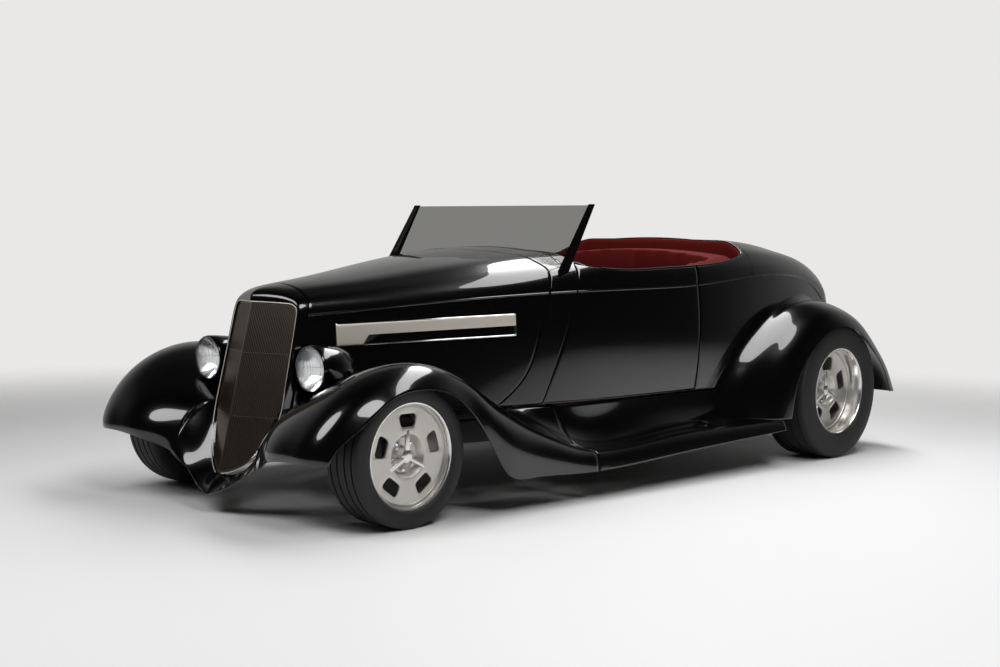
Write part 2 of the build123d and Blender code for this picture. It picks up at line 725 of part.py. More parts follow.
# Hood trims: a bright block at the front that runs back as a narrow bar
TRIM_OUT = 9.0
with BuildPart() as hood_trim:
    add(
        body_loft(
            [
                s._replace(
                    side_y=s.side_y + TRIM_OUT,
                    belt_y=s.belt_y + TRIM_OUT,
                    bottom_y=s.bottom_y + TRIM_OUT,
                )
                for s in BODY_SECTIONS[: COWL_START + 1]
            ]
        )
    )
    add(
        side_prism(
            [
                (front(-34), 676),
                (front(-34), 761),
                (front(-803), 791),
                (front(-800), 746),
                (front(-165), 719),
                (front(-140), 681),
            ],
            0,
            WIDE,
        ),
        mode=Mode.INTERSECT,
    )
    add(body_outer, mode=Mode.SUBTRACT)
hood_trims = both_sides(hood_trim.part)

# Frame: two rails that step up over the axles, and members across between them
RAIL_PLAN = ((110, 222, 274), (-150, 250, 305), (-950, 420, 475), (-2350, 420, 475), (-3290, 345, 400))
RAIL_SIDE = (
    (110, 335, 395),
    (-260, 335, 395),
    (-470, 235, 330),
    (-2210, 235, 330),
    (-2560, 450, 530),
    (-3290, 450, 530),
)
with BuildPart() as rail:
    with BuildSketch(Plane.XY.offset(200)):
        with BuildLine():
            Polyline(
                *[(front(x), outer) for x, inner, outer in RAIL_PLAN],
                *[(front(x), inner) for x, inner, outer in reversed(RAIL_PLAN)],
                close=True,
            )
        make_face()
    extrude(amount=400)
    with BuildSketch(Plane.XZ):
        with BuildLine():
            Polyline(
                *[(front(x), high) for x, low, high in RAIL_SIDE],
                *[(front(x), low) for x, low, high in reversed(RAIL_SIDE)],
                close=True,
            )
        make_face()
    extrude(amount=-600, mode=Mode.INTERSECT)
frame_rails = both_sides(rail.part)

CrossMember = namedtuple("CrossMember", "x width half low high")
CROSS_MEMBERS = [
    CrossMember(front(40), 70, 240, 340, 390),
    CrossMember(front(-1560), 70, 419.7, 205, 244.7),
    CrossMember(rear(-170), 60, 385, 455, 525),
]
with BuildPart() as crossmembers:
    for m in CROSS_MEMBERS:
        add(block((m.x - m.width / 2, m.x + m.width / 2), (-m.half, m.half), (m.low, m.high)))
    add(frame_rails.part, mode=Mode.SUBTRACT)

# Floor: firewall, floor with its tunnel, the riser behind the seat and the trunk floor, and the sills
FLOOR_Z, FLOOR_THICK = 330.0, 15.0
TRUNK_Z = 545.0
FIREWALL_X = front(-1000)
RISER_X = rear(640)
SILL_IN, SILL_OUT = 535.0, 622.0
TUNNEL_HALF, TUNNEL_Z = 150.0, 440.0
inside_body = body_loft(BODY_SECTIONS[COWL_START - 1 : TAIL_END], DOOR_WALL + 34, ROOF_WALL + 4)
COLUMN_TILT = 28.0
STEERING_AT = Vector(front(-1490), 320, 850)
column_axis = Vector(-cos(radians(COLUMN_TILT)), 0, sin(radians(COLUMN_TILT)))
COLUMN_R = 20.0
column_foot = STEERING_AT - column_axis * ((STEERING_AT.X - FIREWALL_X) / column_axis.X + 30)
with BuildPart() as floor_pan:
    add(
        side_prism(
            [
                (FIREWALL_X + FLOOR_THICK, FLOOR_Z),
                (FIREWALL_X + FLOOR_THICK, HIGH),
                (FIREWALL_X, HIGH),
                (FIREWALL_X, FLOOR_Z + FLOOR_THICK),
                (RISER_X + FLOOR_THICK, FLOOR_Z + FLOOR_THICK),
                (RISER_X + FLOOR_THICK, TRUNK_Z + FLOOR_THICK),
                (rear(-400), TRUNK_Z + FLOOR_THICK),
                (rear(-400), TRUNK_Z),
                (RISER_X, TRUNK_Z),
                (RISER_X, FLOOR_Z),
            ],
            -WIDE,
            WIDE,
        )
    )
    add(inside_body, mode=Mode.INTERSECT)
    tunnel_out = TUNNEL_HALF + FLOOR_THICK
    add(block((RISER_X, FIREWALL_X), (-tunnel_out, tunnel_out), (FLOOR_Z, TUNNEL_Z + FLOOR_THICK)))
    add(block((RISER_X - 100, front(-900)), (-TUNNEL_HALF, TUNNEL_HALF), (200, TUNNEL_Z)), mode=Mode.SUBTRACT)
    for side in (1, -1):
        low, high = sorted((side * SILL_IN, side * SILL_OUT))
        add(block((rear(500), front(-1013)), (low, high), (FLOOR_Z, 392)))
        add(block((front(-1013), front(-760)), sorted((side * SILL_IN, side * 556)), (FLOOR_Z, 392)))
        add(block((rear(760), rear(940)), (low, high), (392, 400)))
        add(block((front(-790), front(-900)), sorted((side * 540, side * 556)), (392, 400)))
    add(frame_rails.part, mode=Mode.SUBTRACT)
    add(tube(column_foot, STEERING_AT, COLUMN_R + 0.05), mode=Mode.SUBTRACT)

with BuildPart() as steering_column:
    add(tube(column_foot, STEERING_AT - column_axis * 40, COLUMN_R))
    add(tube(STEERING_AT - column_axis * 45, STEERING_AT + column_axis * 8, 9))

# Steering wheel: a rim, three spokes and a hub that turns on the column's shaft
WHEEL_RIM_R, WHEEL_GRIP_R = 172.0, 12.0
wheel_plane = Plane(origin=STEERING_AT, x_dir=(0, 1, 0), z_dir=column_axis)
with BuildPart() as steering_wheel:
    with BuildSketch(wheel_plane):
        with PolarLocations(WHEEL_RIM_R / 2, 3, 90):
            Rectangle(WHEEL_RIM_R - 6, 22)
        Circle(30)
    extrude(amount=6)
    with BuildSketch(wheel_plane.offset(-30)):
        Circle(24)
    extrude(amount=42)
    with BuildSketch(Plane(origin=STEERING_AT, x_dir=(0, 1, 0), z_dir=column_axis.cross(Vector(0, 1, 0)))):
        with Locations((WHEEL_RIM_R, 0)):
            Circle(WHEEL_GRIP_R)
    revolve(axis=Axis(STEERING_AT, column_axis))
    with BuildSketch(wheel_plane.offset(-40)):
        Circle(9.05)
    extrude(amount=48.5, mode=Mode.SUBTRACT)

with BuildPart() as dash:
    add(block((front(-1165), front(-1120)), (-515, 515), (870, HIGH)))
    add(body_inner, mode=Mode.INTERSECT)
    add(block((front(-1160), front(-1130)), (STEERING_AT.Y - 25, STEERING_AT.Y + 25), (655, 880)))
    add(tube(column_foot, STEERING_AT, COLUMN_R), mode=Mode.SUBTRACT)
with BuildPart() as dash_clean:
    add(dash.part.solids().sort_by(SortBy.VOLUME)[-1])

# Seat: a bench cushion and a back that wraps round the sides of the cockpit
CUSHION_Z = FLOOR_Z + FLOOR_THICK + SEAT_GAP
TUNNEL_TOP = TUNNEL_Z + FLOOR_THICK + SEAT_GAP
with BuildPart() as seat_cushion:
    add(block((RISER_X + FLOOR_THICK + 6, rear(1110)), (-500, 500), (TUNNEL_TOP, 585)))
    fillet(seat_cushion.edges().group_by(Axis.Z)[-1], 55)
    for side in (1, -1):
        low, high = sorted((side * (TUNNEL_HALF + FLOOR_THICK + 1), side * 500))
        add(block((RISER_X + FLOOR_THICK + 6, rear(1090)), (low, high), (CUSHION_Z, TUNNEL_TOP)))
SEAT_BACK_Z = TRUNK_Z + FLOOR_THICK + SEAT_GAP
seat_room = body_loft(BODY_SECTIONS[COWL_START:TAIL_END], DOOR_WALL + 1, ROOF_WALL + 6)
with BuildPart() as seat_back:
    with BuildSketch(Plane.XY.offset(SEAT_BACK_Z)) as seat_plan:
        with BuildLine():
            Polyline(
                (rear(930), 640),
                (rear(930), 545),
                (rear(668), 515),
                (rear(655), 430),
                (rear(625), 0),
                (rear(655), -430),
                (rear(668), -515),
                (rear(930), -545),
                (rear(930), -640),
                (rear(470), -640),
                (rear(470), 640),
                close=True,
            )
        make_face()
    extrude(amount=700)
    add(seat_room, mode=Mode.INTERSECT)
    add(floor_pan.part, mode=Mode.SUBTRACT)

# Engine with its gearbox as one plain mass, and the shaft to the rear axle
with BuildPart() as engine:
    with BuildSketch(Plane.YZ.offset(front(-860))):
        with BuildLine():
            right = [(130, 250), (150, 430), (255, 590), (180, 720)]
            Polyline(*right, *[(-y, z) for y, z in reversed(right)], close=True)
        make_face()
    extrude(amount=640)
    add(tube((front(-520), 0, 700), (front(-520), 0, 850), 160))
    with BuildSketch(Plane.YZ.offset(front(-860))):
        with Locations((0, 320)):
            Rectangle(250, 210)
    with BuildSketch(Plane.YZ.offset(front(-1620))):
        with Locations((0, 310)):
            Rectangle(130, 130)
    loft()
    add(crossmembers.part, mode=Mode.SUBTRACT)
SHAFT_R = 38.0
with BuildPart() as driveshaft:
    add(tube((front(-1621.5), 0, 312), (rear(127.5), 0, REAR_TYRE_R), SHAFT_R))

with BuildPart() as radiator:
    add(block((front(-30), front(30)), (-195, 195), (425, 800)))
    add(block((front(10), front(30)), (-190, 190), (CROSS_MEMBERS[0].high, 425)))

# Front axle: a straight beam with kingpin eyes, and the knuckles that swing on them
KINGPIN_Y = 612.0
KINGPIN_R = 11.0
EYE_R, EYE_HALF = 26.0, 32.0
LUG_GAP, LUG_THICK = 5.0, 20.0
SPINDLE_R = 16.0
FIT = 0.05
ARM_LENGTH = 130.0
TIE_R = 11.0
PIN_R = 8.0
HUB_Z = FRONT_TYRE_R
BEAM_R = 24.0
kingpin_at = Vector(front(0), KINGPIN_Y, HUB_Z)


def upright(at, low, high, radius):
    """An upright round between two heights measured from a place."""
    return tube((at.X, at.Y, at.Z + low), (at.X, at.Y, at.Z + high), radius)


with BuildPart() as front_axle:
    add(tube((front(0), EYE_R - KINGPIN_Y, HUB_Z), (front(0), KINGPIN_Y - EYE_R, HUB_Z), BEAM_R))
    for side in (1, -1):
        at = Vector(front(0), side * KINGPIN_Y, HUB_Z)
        add(tube((front(0), side * (KINGPIN_Y - 60), HUB_Z), (front(0), side * KINGPIN_Y, HUB_Z), BEAM_R))
        add(upright(at, -EYE_HALF, EYE_HALF, EYE_R))
        add(upright(at, -EYE_HALF, EYE_HALF, KINGPIN_R + FIT), mode=Mode.SUBTRACT)
    add(block((front(-28), front(28)), (-60, 60), (HUB_Z + 10, CROSS_MEMBERS[0].low)))

LUG_TOP = EYE_HALF + LUG_GAP + LUG_THICK
LUG_LOW = EYE_HALF + LUG_GAP
WEB_IN, WEB_OUT = 34.0, 48.0
SPINDLE_END = 92.0
arm_end = Vector(front(-ARM_LENGTH), KINGPIN_Y, HUB_Z)
TIE_Z = -LUG_TOP - 20
with BuildPart() as knuckle_left:
    for low, high in ((LUG_LOW, LUG_TOP), (-LUG_TOP, -LUG_LOW)):
        add(upright(kingpin_at, low, high, EYE_R))
        add(block((front(-26), front(26)), (KINGPIN_Y, KINGPIN_Y + WEB_OUT), (HUB_Z + low, HUB_Z + high)))
    add(upright(kingpin_at, -LUG_TOP, LUG_TOP, KINGPIN_R))
    web_y = (KINGPIN_Y + WEB_IN, KINGPIN_Y + WEB_OUT)
    add(block((front(-45), front(45)), web_y, (HUB_Z - LUG_TOP, HUB_Z + LUG_TOP)))
    add(tube((front(0), KINGPIN_Y + WEB_IN, HUB_Z), (front(0), KINGPIN_Y + SPINDLE_END, HUB_Z), SPINDLE_R))
    arm_y, arm_z = (KINGPIN_Y - 14, KINGPIN_Y + 14), (HUB_Z - LUG_TOP, HUB_Z - LUG_LOW - 4)
    add(block((front(-ARM_LENGTH), front(0)), arm_y, arm_z))
    add(upright(arm_end, -LUG_TOP, -LUG_LOW - 4, 18))
    add(upright(arm_end, TIE_Z - 16, -LUG_TOP + 2, PIN_R))
knuckle_right = mirror_piece(knuckle_left.part)

with BuildPart() as tie_rod:
    rod_x, rod_y, rod_z = front(-ARM_LENGTH), KINGPIN_Y - 12, HUB_Z + TIE_Z
    add(tube((rod_x, -rod_y, rod_z), (rod_x, rod_y, rod_z), TIE_R))
    for side in (1, -1):
        at = Vector(front(-ARM_LENGTH), side * KINGPIN_Y, HUB_Z + TIE_Z)
        add(upright(at, -14, 14, 17))
        add(upright(at, -14, 14, PIN_R + FIT), mode=Mode.SUBTRACT)

with BuildPart() as radius_rod:
    add(tube((front(-20), 455, HUB_Z - 14), (front(-640), 392, 282), 13))
    add(tube((front(-20), 455, HUB_Z + 14), (front(-640), 392, 296), 13))
    add(front_axle.part, mode=Mode.SUBTRACT)
    add(frame_rails.part, mode=Mode.SUBTRACT)
with BuildPart() as rod_clean:
    add(radius_rod.part.solids().sort_by(SortBy.VOLUME)[-1])
radius_rods = both_sides(rod_clean.part)

# Rear axle: a tube with its differential, and stubs that carry the wheels
STUB_R = 20.0
STUB_END = REAR_WHEEL_Y - 10
with BuildPart() as rear_axle:
    add(tube((rear(0), -560, RT), (rear(0), 560, RT), 38))
    with BuildSketch(Plane(origin=(rear(0), 0, RT), x_dir=(0, 1, 0), z_dir=(1, 0, 0))):
        Circle(120)
    extrude(amount=70, both=True, taper=22)
    add(tube((rear(40), 0, RT), (rear(126), 0, RT), 58))
    add(tube((rear(0), -STUB_END, RT), (rear(0), STUB_END, RT), STUB_R))

# Spring units: front pair from the axle to the rails, rear pair from the axle to the rails
SPRING_R = 42.0
with BuildPart() as spring_units_left:
    add(tube((rear(-60), 330, RT + 20), (rear(-120), 366, 470), SPRING_R))
    add(rear_axle.part, mode=Mode.SUBTRACT)
    add(frame_rails.part, mode=Mode.SUBTRACT)
    add(crossmembers.part, mode=Mode.SUBTRACT)
with BuildPart() as spring_clean:
    add(spring_units_left.part.solids().sort_by(SortBy.VOLUME)[-1])
spring_units = both_sides(spring_clean.part)

# Exhaust: a pipe and muffler each side, hung from the rails
PIPE_Z, PIPE_R, MUFFLER_R = 276.0, 27.0, 50.0
with BuildPart() as exhaust_left:
    add(tube((front(-700), 300, PIPE_Z), (rear(520), 300, PIPE_Z), PIPE_R))
    add(tube((front(-1750), 300, PIPE_Z), (rear(700), 300, PIPE_Z), MUFFLER_R))
    add(tube((front(-715), 305, PIPE_Z - 8), (front(-600), 150, 520), PIPE_R))
    add(block((front(-1300), front(-1270)), (300, 420), (268, 282)))
    add(engine.part, mode=Mode.SUBTRACT)
with BuildPart() as exhaust_clean:
    add(exhaust_left.part.solids().sort_by(SortBy.VOLUME)[-1])
exhaust_pipes = both_sides(exhaust_clean.part)

with BuildPart() as fuel_tank:
    add(block((rear(-380), rear(-215)), (-330, 330), (300, 440)))
    fillet(fuel_tank.edges().filter_by(Axis.Y), 30)
    for side in (1, -1):
        add(block((rear(-320), rear(-290)), sorted((side * 300, side * 385)), (400, 450)))
    add(frame_rails.part, mode=Mode.SUBTRACT)

# Tail lamps: round lenses let into the tail
TAIL_LAMP_R = 40.0
with BuildPart() as tail_lamp:
    add(tube((rear(-300), 300, 640), (rear(-545), 300, 640), TAIL_LAMP_R))
    add(body_outer, mode=Mode.SUBTRACT)
with BuildPart() as tail_clean:
    add(tail_lamp.part.solids().sort_by(Axis.X)[0])
tail_lamps = both_sides(tail_clean.part)

# Wheels and tyres, drawn as half sections (radius, place outward from the tyre's middle)
WheelSize = namedtuple(
    "WheelSize", "x y hub_z tyre_r tyre_w rim_r flange disc bowl window_in window_out window_w bore"
)
FRONT_WHEEL = WheelSize(
    front(0), FRONT_WHEEL_Y, FT, FT, FRONT_TYRE_W, FRONT_RIM_R, 88, 52, 22, 109, 166, 98, SPINDLE_R + FIT
)
REAR_WHEEL = WheelSize(
    rear(0), REAR_WHEEL_Y, RT, RT, REAR_TYRE_W, REAR_RIM_R, 120, 30, 0, 100, 172, 112, STUB_R + FIT
)
RIM_LIP = 8.0
DISC_THICK = 9.0
BOWL_R = 86.0


def wheel_section_plane(w):
    """The plane of a wheel's half section: radius upward and outward along +Y."""
    return Plane(origin=(w.x, w.y, w.hub_z), x_dir=(0, 1, 0), z_dir=(1, 0, 0))


def make_tyre(w):
    """A tyre with rounded shoulders, seated between the rim's flanges."""
    half, seat, side = w.tyre_w / 2, w.rim_r - 9 + SEAT_GAP, w.flange - RIM_LIP - SEAT_GAP
    wide_r = (w.rim_r + w.tyre_r) / 2 - 4
    tread = half - 26
    with BuildPart() as tyre:
        with BuildSketch(wheel_section_plane(w)):
            with BuildLine():
                Line((-side, seat), (side, seat))
                Line((side, seat), (side, w.rim_r + SEAT_GAP))
                ThreePointArc((side, w.rim_r + SEAT_GAP), (half, wide_r), (half - 8, w.tyre_r - 22))
                ThreePointArc((half - 8, w.tyre_r - 22), (half - 14, w.tyre_r - 9), (tread, w.tyre_r - 2))
                ThreePointArc((tread, w.tyre_r - 2), (0, w.tyre_r), (-tread, w.tyre_r - 2))
                ThreePointArc((-tread, w.tyre_r - 2), (14 - half, w.tyre_r - 9), (8 - half, w.tyre_r - 22))
                ThreePointArc((8 - half, w.tyre_r - 22), (-half, wide_r), (-side, w.rim_r + SEAT_GAP))
                Line((-side, w.rim_r + SEAT_GAP), (-side, seat))
            make_face()
        revolve(axis=Axis((w.x, w.y, w.hub_z), (0, 1, 0)))
    return tyre


def make_wheel(w):
    """A rim with a dished five-window disc, a deep hub bowl and a three-bar spinner."""
    seat = w.rim_r - 9
    inner = seat - 8
    face_plane = Plane(origin=(w.x, w.y, w.hub_z), x_dir=(-1, 0, 0), z_dir=(0, 1, 0))
    with BuildPart() as wheel:
        with BuildSketch(wheel_section_plane(w)):
            with BuildLine():
                Polyline(
                    (w.flange, w.rim_r),
                    (w.flange - RIM_LIP, w.rim_r),
                    (w.flange - RIM_LIP, seat),
                    (RIM_LIP - w.flange, seat),
                    (RIM_LIP - w.flange, w.rim_r),
                    (-w.flange, w.rim_r),
                    (-w.flange, inner + 4),
                    (w.disc - DISC_THICK - 4, inner),
                    (w.disc - DISC_THICK, inner - 8),
                    (w.disc - DISC_THICK + 4, BOWL_R),
                    (w.bowl - DISC_THICK, BOWL_R - 8),
                    (w.bowl - DISC_THICK, 46),
                    (w.bowl - 60, 46),
                    (w.bowl - 60, w.bore),
                    (w.bowl, w.bore),
                    (w.bowl, BOWL_R - 14),
                    (w.disc + 5, BOWL_R + 4),
                    (w.disc, inner - 6),
                    (w.disc + 6, inner),
                    (w.flange, inner + 8),
                    close=True,
                )
            make_face()
        revolve(axis=Axis((w.x, w.y, w.hub_z), (0, 1, 0)))
        with BuildSketch(face_plane.offset(w.disc - 30)):
            with PolarLocations((w.window_in + w.window_out) / 2, 5, 90):
                Trapezoid(w.window_w, w.window_out - w.window_in, 76, rotation=-90)
        extrude(amount=60, mode=Mode.SUBTRACT)
        spin = face_plane.offset(w.bowl - 4)
        with BuildSketch(spin):
            Circle(34)
        extrude(amount=52, taper=4)
        with BuildSketch(spin.offset(38)):
            with PolarLocations(66, 3):
                Trapezoid(34, 84, 84, rotation=-90)
        extrude(amount=15)
    return wheel


wheels = {"front": FRONT_WHEEL, "rear": REAR_WHEEL}
pieces = {
    "frame_rails": frame_rails,
    "crossmembers": crossmembers,
    "floor_pan": floor_pan,
    "cowl": cowl,
    "rear_body": rear_body,
    "hood_sides": hood_sides,
    "hood_trims": hood_trims,
    "grille_shell": grille_shell,
    "grille_bars": grille_bars,
    "radiator": radiator,
    "front_fender_left": front_fender_left,
    "front_fender_right": mirror_piece(front_fender_left.part),
    "running_boards": running_boards,
    "rear_fender_left": rear_fender_left,
    "rear_fender_right": mirror_piece(rear_fender_left.part),
    "headlamp_buckets": headlamp_buckets,
    "headlamp_lenses": headlamp_lenses,
    "windshield_posts": windshield_posts,
    "windshield_glass": windshield_glass,
    "dash": dash_clean,
    "steering_column": steering_column,
    "seat_cushion": seat_cushion,
    "seat_back": seat_back,
    "engine": engine,
    "driveshaft": driveshaft,
    "front_axle": front_axle,
    "radius_rods": radius_rods,
    "rear_axle": rear_axle,
    "spring_units": spring_units,
    "exhaust_pipes": exhaust_pipes,
    "fuel_tank": fuel_tank,
    "tail_lamps": tail_lamps,
    "hood_top": hood_top,
    "door_left": door_left,
    "door_right": mirror_piece(door_left.part),
    "door_trim_left": door_trim_left,
    "door_trim_right": mirror_piece(door_trim_left.part),
    "deck_lid": deck_lid,
    "steering_wheel": steering_wheel,
    "knuckle_left": knuckle_left,
    "knuckle_right": knuckle_right,
    "tie_rod": tie_rod,
}
for place, size in wheels.items():
    tyre, wheel = make_tyre(size), make_wheel(size)
    pieces[place + "_tyre_left"], pieces[place + "_wheel_left"] = tyre, wheel
    pieces[place + "_tyre_right"] = mirror_piece(tyre.part)
    pieces[place + "_wheel_right"] = mirror_piece(wheel.part)

for name, piece in pieces.items():
    piece.part.label = name
    export_step(piece.part, "parts/" + name + ".step")
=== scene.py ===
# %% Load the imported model
from math import cos, pi, radians, sin

import bpy
import numpy as np
from mathutils import Matrix, Vector


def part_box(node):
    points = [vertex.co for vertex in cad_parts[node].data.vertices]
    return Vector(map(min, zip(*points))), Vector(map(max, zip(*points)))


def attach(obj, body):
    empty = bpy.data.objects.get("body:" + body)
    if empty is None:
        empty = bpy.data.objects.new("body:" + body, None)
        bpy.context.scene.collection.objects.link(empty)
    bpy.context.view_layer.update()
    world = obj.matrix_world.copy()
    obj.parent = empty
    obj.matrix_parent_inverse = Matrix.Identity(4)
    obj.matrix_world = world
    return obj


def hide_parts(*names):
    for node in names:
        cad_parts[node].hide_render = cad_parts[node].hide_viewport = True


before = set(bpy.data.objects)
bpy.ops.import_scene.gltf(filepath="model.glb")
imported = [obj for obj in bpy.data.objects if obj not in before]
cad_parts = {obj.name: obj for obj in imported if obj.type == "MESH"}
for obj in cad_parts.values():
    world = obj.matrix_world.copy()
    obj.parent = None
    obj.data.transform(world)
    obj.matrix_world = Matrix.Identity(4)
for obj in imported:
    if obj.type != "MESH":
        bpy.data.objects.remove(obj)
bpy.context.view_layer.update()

print("pieces in the frame:", len(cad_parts))

# %% [markdown]
# A low two-seat roadster in gloss black with a red leather cockpit.
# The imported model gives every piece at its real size, and stays below as the hidden construction.
# The skins are rebuilt here as smooth grids, because a black gloss panel shows every flat and every kink.

# %% Driving sizes, in millimetres from the frame
MM = 0.001
FRONT_TYRE_LOW, FRONT_TYRE_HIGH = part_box("front_tyre_left")
REAR_TYRE_LOW, REAR_TYRE_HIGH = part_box("rear_tyre_left")
FRONT_AXLE_X = (FRONT_TYRE_LOW[0] + FRONT_TYRE_HIGH[0]) / 2 / MM
REAR_AXLE_X = (REAR_TYRE_LOW[0] + REAR_TYRE_HIGH[0]) / 2 / MM
FRONT_TYRE_R = FRONT_TYRE_HIGH[2] / 2 / MM
REAR_TYRE_R = REAR_TYRE_HIGH[2] / 2 / MM
FRONT_WHEEL_Y = 698.0
REAR_WHEEL_Y = 745.0
SHUT_GAP = 5.0


def front(dx):
    """A place measured forward from the front axle."""
    return FRONT_AXLE_X + dx


def rear(dx):
    """A place measured forward from the rear axle."""
    return REAR_AXLE_X + dx


# %% [markdown]
# The body is drawn by cross sections, as a coachbuilder lofts it on the floor.
# Each row of the table is one section, and a spline carries every column smoothly on to the next.

# %% Body sections
# Columns: x, bottom z, bottom y, side y, belt y, belt z, shoulder y, shoulder z, crown z
BODY = np.array(
    [
        (front(205), 400, 226, 212, 194, 792, 132, 871, 902),
        (front(70), 400, 272, 257, 238, 803, 170, 888, 921),
        (front(-250), 400, 384, 370, 351, 830, 255, 927, 964),
        (front(-600), 400, 500, 492, 475, 859, 350, 975, 1018),
        (front(-1015), 400, 608, 620, 606, 890, 471, 1022, 1066),
        (front(-1180), 400, 630, 650, 634, 895, 505, 1036, 1080),
        (front(-1500), 400, 650, 674, 657, 903, 540, 1055, 1096),
        (rear(964), 400, 656, 681, 662, 914, 552, 1078, 1114),
        (rear(546), 400, 644, 670, 650, 938, 535, 1096, 1128),
        (rear(196), 400, 612, 642, 622, 950, 490, 1082, 1112),
        (rear(-104), 400, 570, 602, 580, 928, 408, 1044, 1074),
        (rear(-304), 400, 526, 560, 545, 870, 370, 985, 1015),
        (rear(-434), 400, 470, 510, 488, 772, 310, 885, 915),
        (rear(-514), 400, 360, 392, 360, 630, 200, 728, 754),
        (rear(-556), 400, 190, 210, 182, 515, 85, 572, 588),
        (rear(-572), 400, 60, 66, 58, 450, 26, 468, 474),
    ]
)
BELT_T = 0.5
SHOULDER_BULGE = 0.17


def spline(knots, rows, at):
    """A natural cubic spline through rows of values, read at any number of places."""
    x, y = np.asarray(knots, float), np.asarray(rows, float)
    count, step = len(x), np.diff(x)
    matrix, right = np.zeros((count, count)), np.zeros_like(y)
    matrix[0, 0] = matrix[-1, -1] = 1
    for i in range(1, count - 1):
        matrix[i, i - 1 : i + 2] = step[i - 1], 2 * (step[i - 1] + step[i]), step[i]
        right[i] = 6 * ((y[i + 1] - y[i]) / step[i] - (y[i] - y[i - 1]) / step[i - 1])
    bend = np.linalg.solve(matrix, right.reshape(count, -1)).reshape(y.shape)
    at = np.asarray(at, float)
    k = np.clip(np.searchsorted(x, at) - 1, 0, count - 2)
    wide = (slice(None),) * at.ndim + (None,) * (y.ndim - 1)
    h = step[k][wide]
    b = (at - x[k])[wide] / h
    a = 1 - b
    return a * y[k] + b * y[k + 1] + ((a**3 - a) * bend[k] + (b**3 - b) * bend[k + 1]) * h**2 / 6


def hermite(p, q, slope_p, slope_q, s):
    """A cubic from p to q with the slopes given at both ends."""
    return (
        (2 * s**3 - 3 * s**2 + 1) * p
        + (s**3 - 2 * s**2 + s) * slope_p
        + (3 * s**2 - 2 * s**3) * q
        + (s**3 - s**2) * slope_q
    )


def skin(x, t):
    """Points of the body's left skin, t from 0 at the bottom edge, 0.5 at the belt, to 1 at the crown."""
    x, t = np.broadcast_arrays(np.asarray(x, float), np.asarray(t, float))
    columns = spline(-BODY[:, 0], BODY[:, 1:], -x)
    low_z, low_y, side_y, belt_y, belt_z, shoulder_y, shoulder_z, crown_z = np.moveaxis(columns, -1, 0)
    pair = lambda y, z: np.stack([y, z], -1)
    low, side = pair(low_y, low_z), pair(side_y, (low_z + belt_z) / 2)
    belt, shoulder, crown = pair(belt_y, belt_z), pair(shoulder_y, shoulder_z), pair(0 * belt_y, crown_z)
    reach = shoulder - belt
    bulge = (belt + shoulder) / 2 + SHOULDER_BULGE * pair(reach[..., 1], -reach[..., 0])
    quarter = pair(shoulder_y / 2, crown_z - (crown_z - shoulder_z) / 4)
    chain = [belt, bulge, shoulder, quarter, crown]
    length = [np.linalg.norm(q - p, axis=-1, keepdims=True) for p, q in zip(chain, chain[1:])]
    along = [(q - p) / h for p, q, h in zip(chain, chain[1:], length)]
    slopes = [
        (d0 * h1 + d1 * h0) / (h0 + h1) for d0, d1, h0, h1 in zip(along, along[1:], length, length[1:])
    ]
    level = pair(0 * belt_y - 1, 0 * belt_y)
    slopes = [2 * along[0] - slopes[0], *slopes, level]
    s = (t / BELT_T)[..., None]
    flank = low * (1 - s) * (1 - 2 * s) + side * 4 * s * (1 - s) + belt * s * (2 * s - 1)
    out = flank
    for i in range(4):
        begin = BELT_T + i * (1 - BELT_T) / 4
        s = ((t - begin) * 4 / (1 - BELT_T))[..., None]
        part = hermite(chain[i], chain[i + 1], slopes[i] * length[i], slopes[i + 1] * length[i], s)
        out = np.where(s > 0, part, out)
    return np.concatenate([x[..., None], out], -1)


def halve(x, low, below):
    """How far up the section at x a test on the skin's points holds, found by halving from a low t."""
    low, high = np.full(np.shape(x), float(low)), np.ones(np.shape(x))
    for _ in range(24):
        middle = (low + high) / 2
        under = below(skin(x, middle))
        low, high = np.where(under, middle, low), np.where(under, high, middle)
    return (low + high) / 2


def t_where(x, y):
    """How far up the section the skin comes in to a place across the car, above the belt."""
    x, y = np.broadcast_arrays(np.asarray(x, float), np.asarray(y, float))
    return halve(x, BELT_T, lambda points: points[..., 1] > y)


def t_at_height(x, z):
    """How far up the section the skin reaches a height."""
    return halve(x, 0, lambda points: points[..., 2] < z)


def skin_y(x, z):
    """How wide the body is at a place along it and a height."""
    return skin(x, t_at_height(x, z))[..., 1]


print("body sections:", len(BODY))

# %% [markdown]
# A few small tools do the same work for every piece.
# A grid primitive is laid out, its vertices are carried to the surface,
# and modifiers give it a wall and soft edges.

# %% Tools for meshes
FINE_MERGE = 0.00002


def only(obj):
    """Selects one object and makes it active."""
    bpy.ops.object.select_all(action="DESELECT")
    obj.select_set(True)
    bpy.context.view_layer.objects.active = obj


def modify(obj, kind, **settings):
    """Adds a modifier with its settings and applies it."""
    only(obj)
    modifier = obj.modifiers.new(kind.title(), kind)
    for name, value in settings.items():
        setattr(modifier, name, value)
    bpy.ops.object.modifier_apply(modifier=modifier.name)


def edit(obj):
    """Opens a mesh for editing with all of it selected."""
    only(obj)
    bpy.ops.object.mode_set(mode="EDIT")
    bpy.ops.mesh.select_all(action="SELECT")


def tidy(obj, merge=0.0002, recalculate=True):
    """Merges doubles and turns the normals outward."""
    edit(obj)
    bpy.ops.mesh.remove_doubles(threshold=merge)
    if recalculate:
        bpy.ops.mesh.normals_make_consistent(inside=False)
    bpy.ops.object.mode_set(mode="OBJECT")


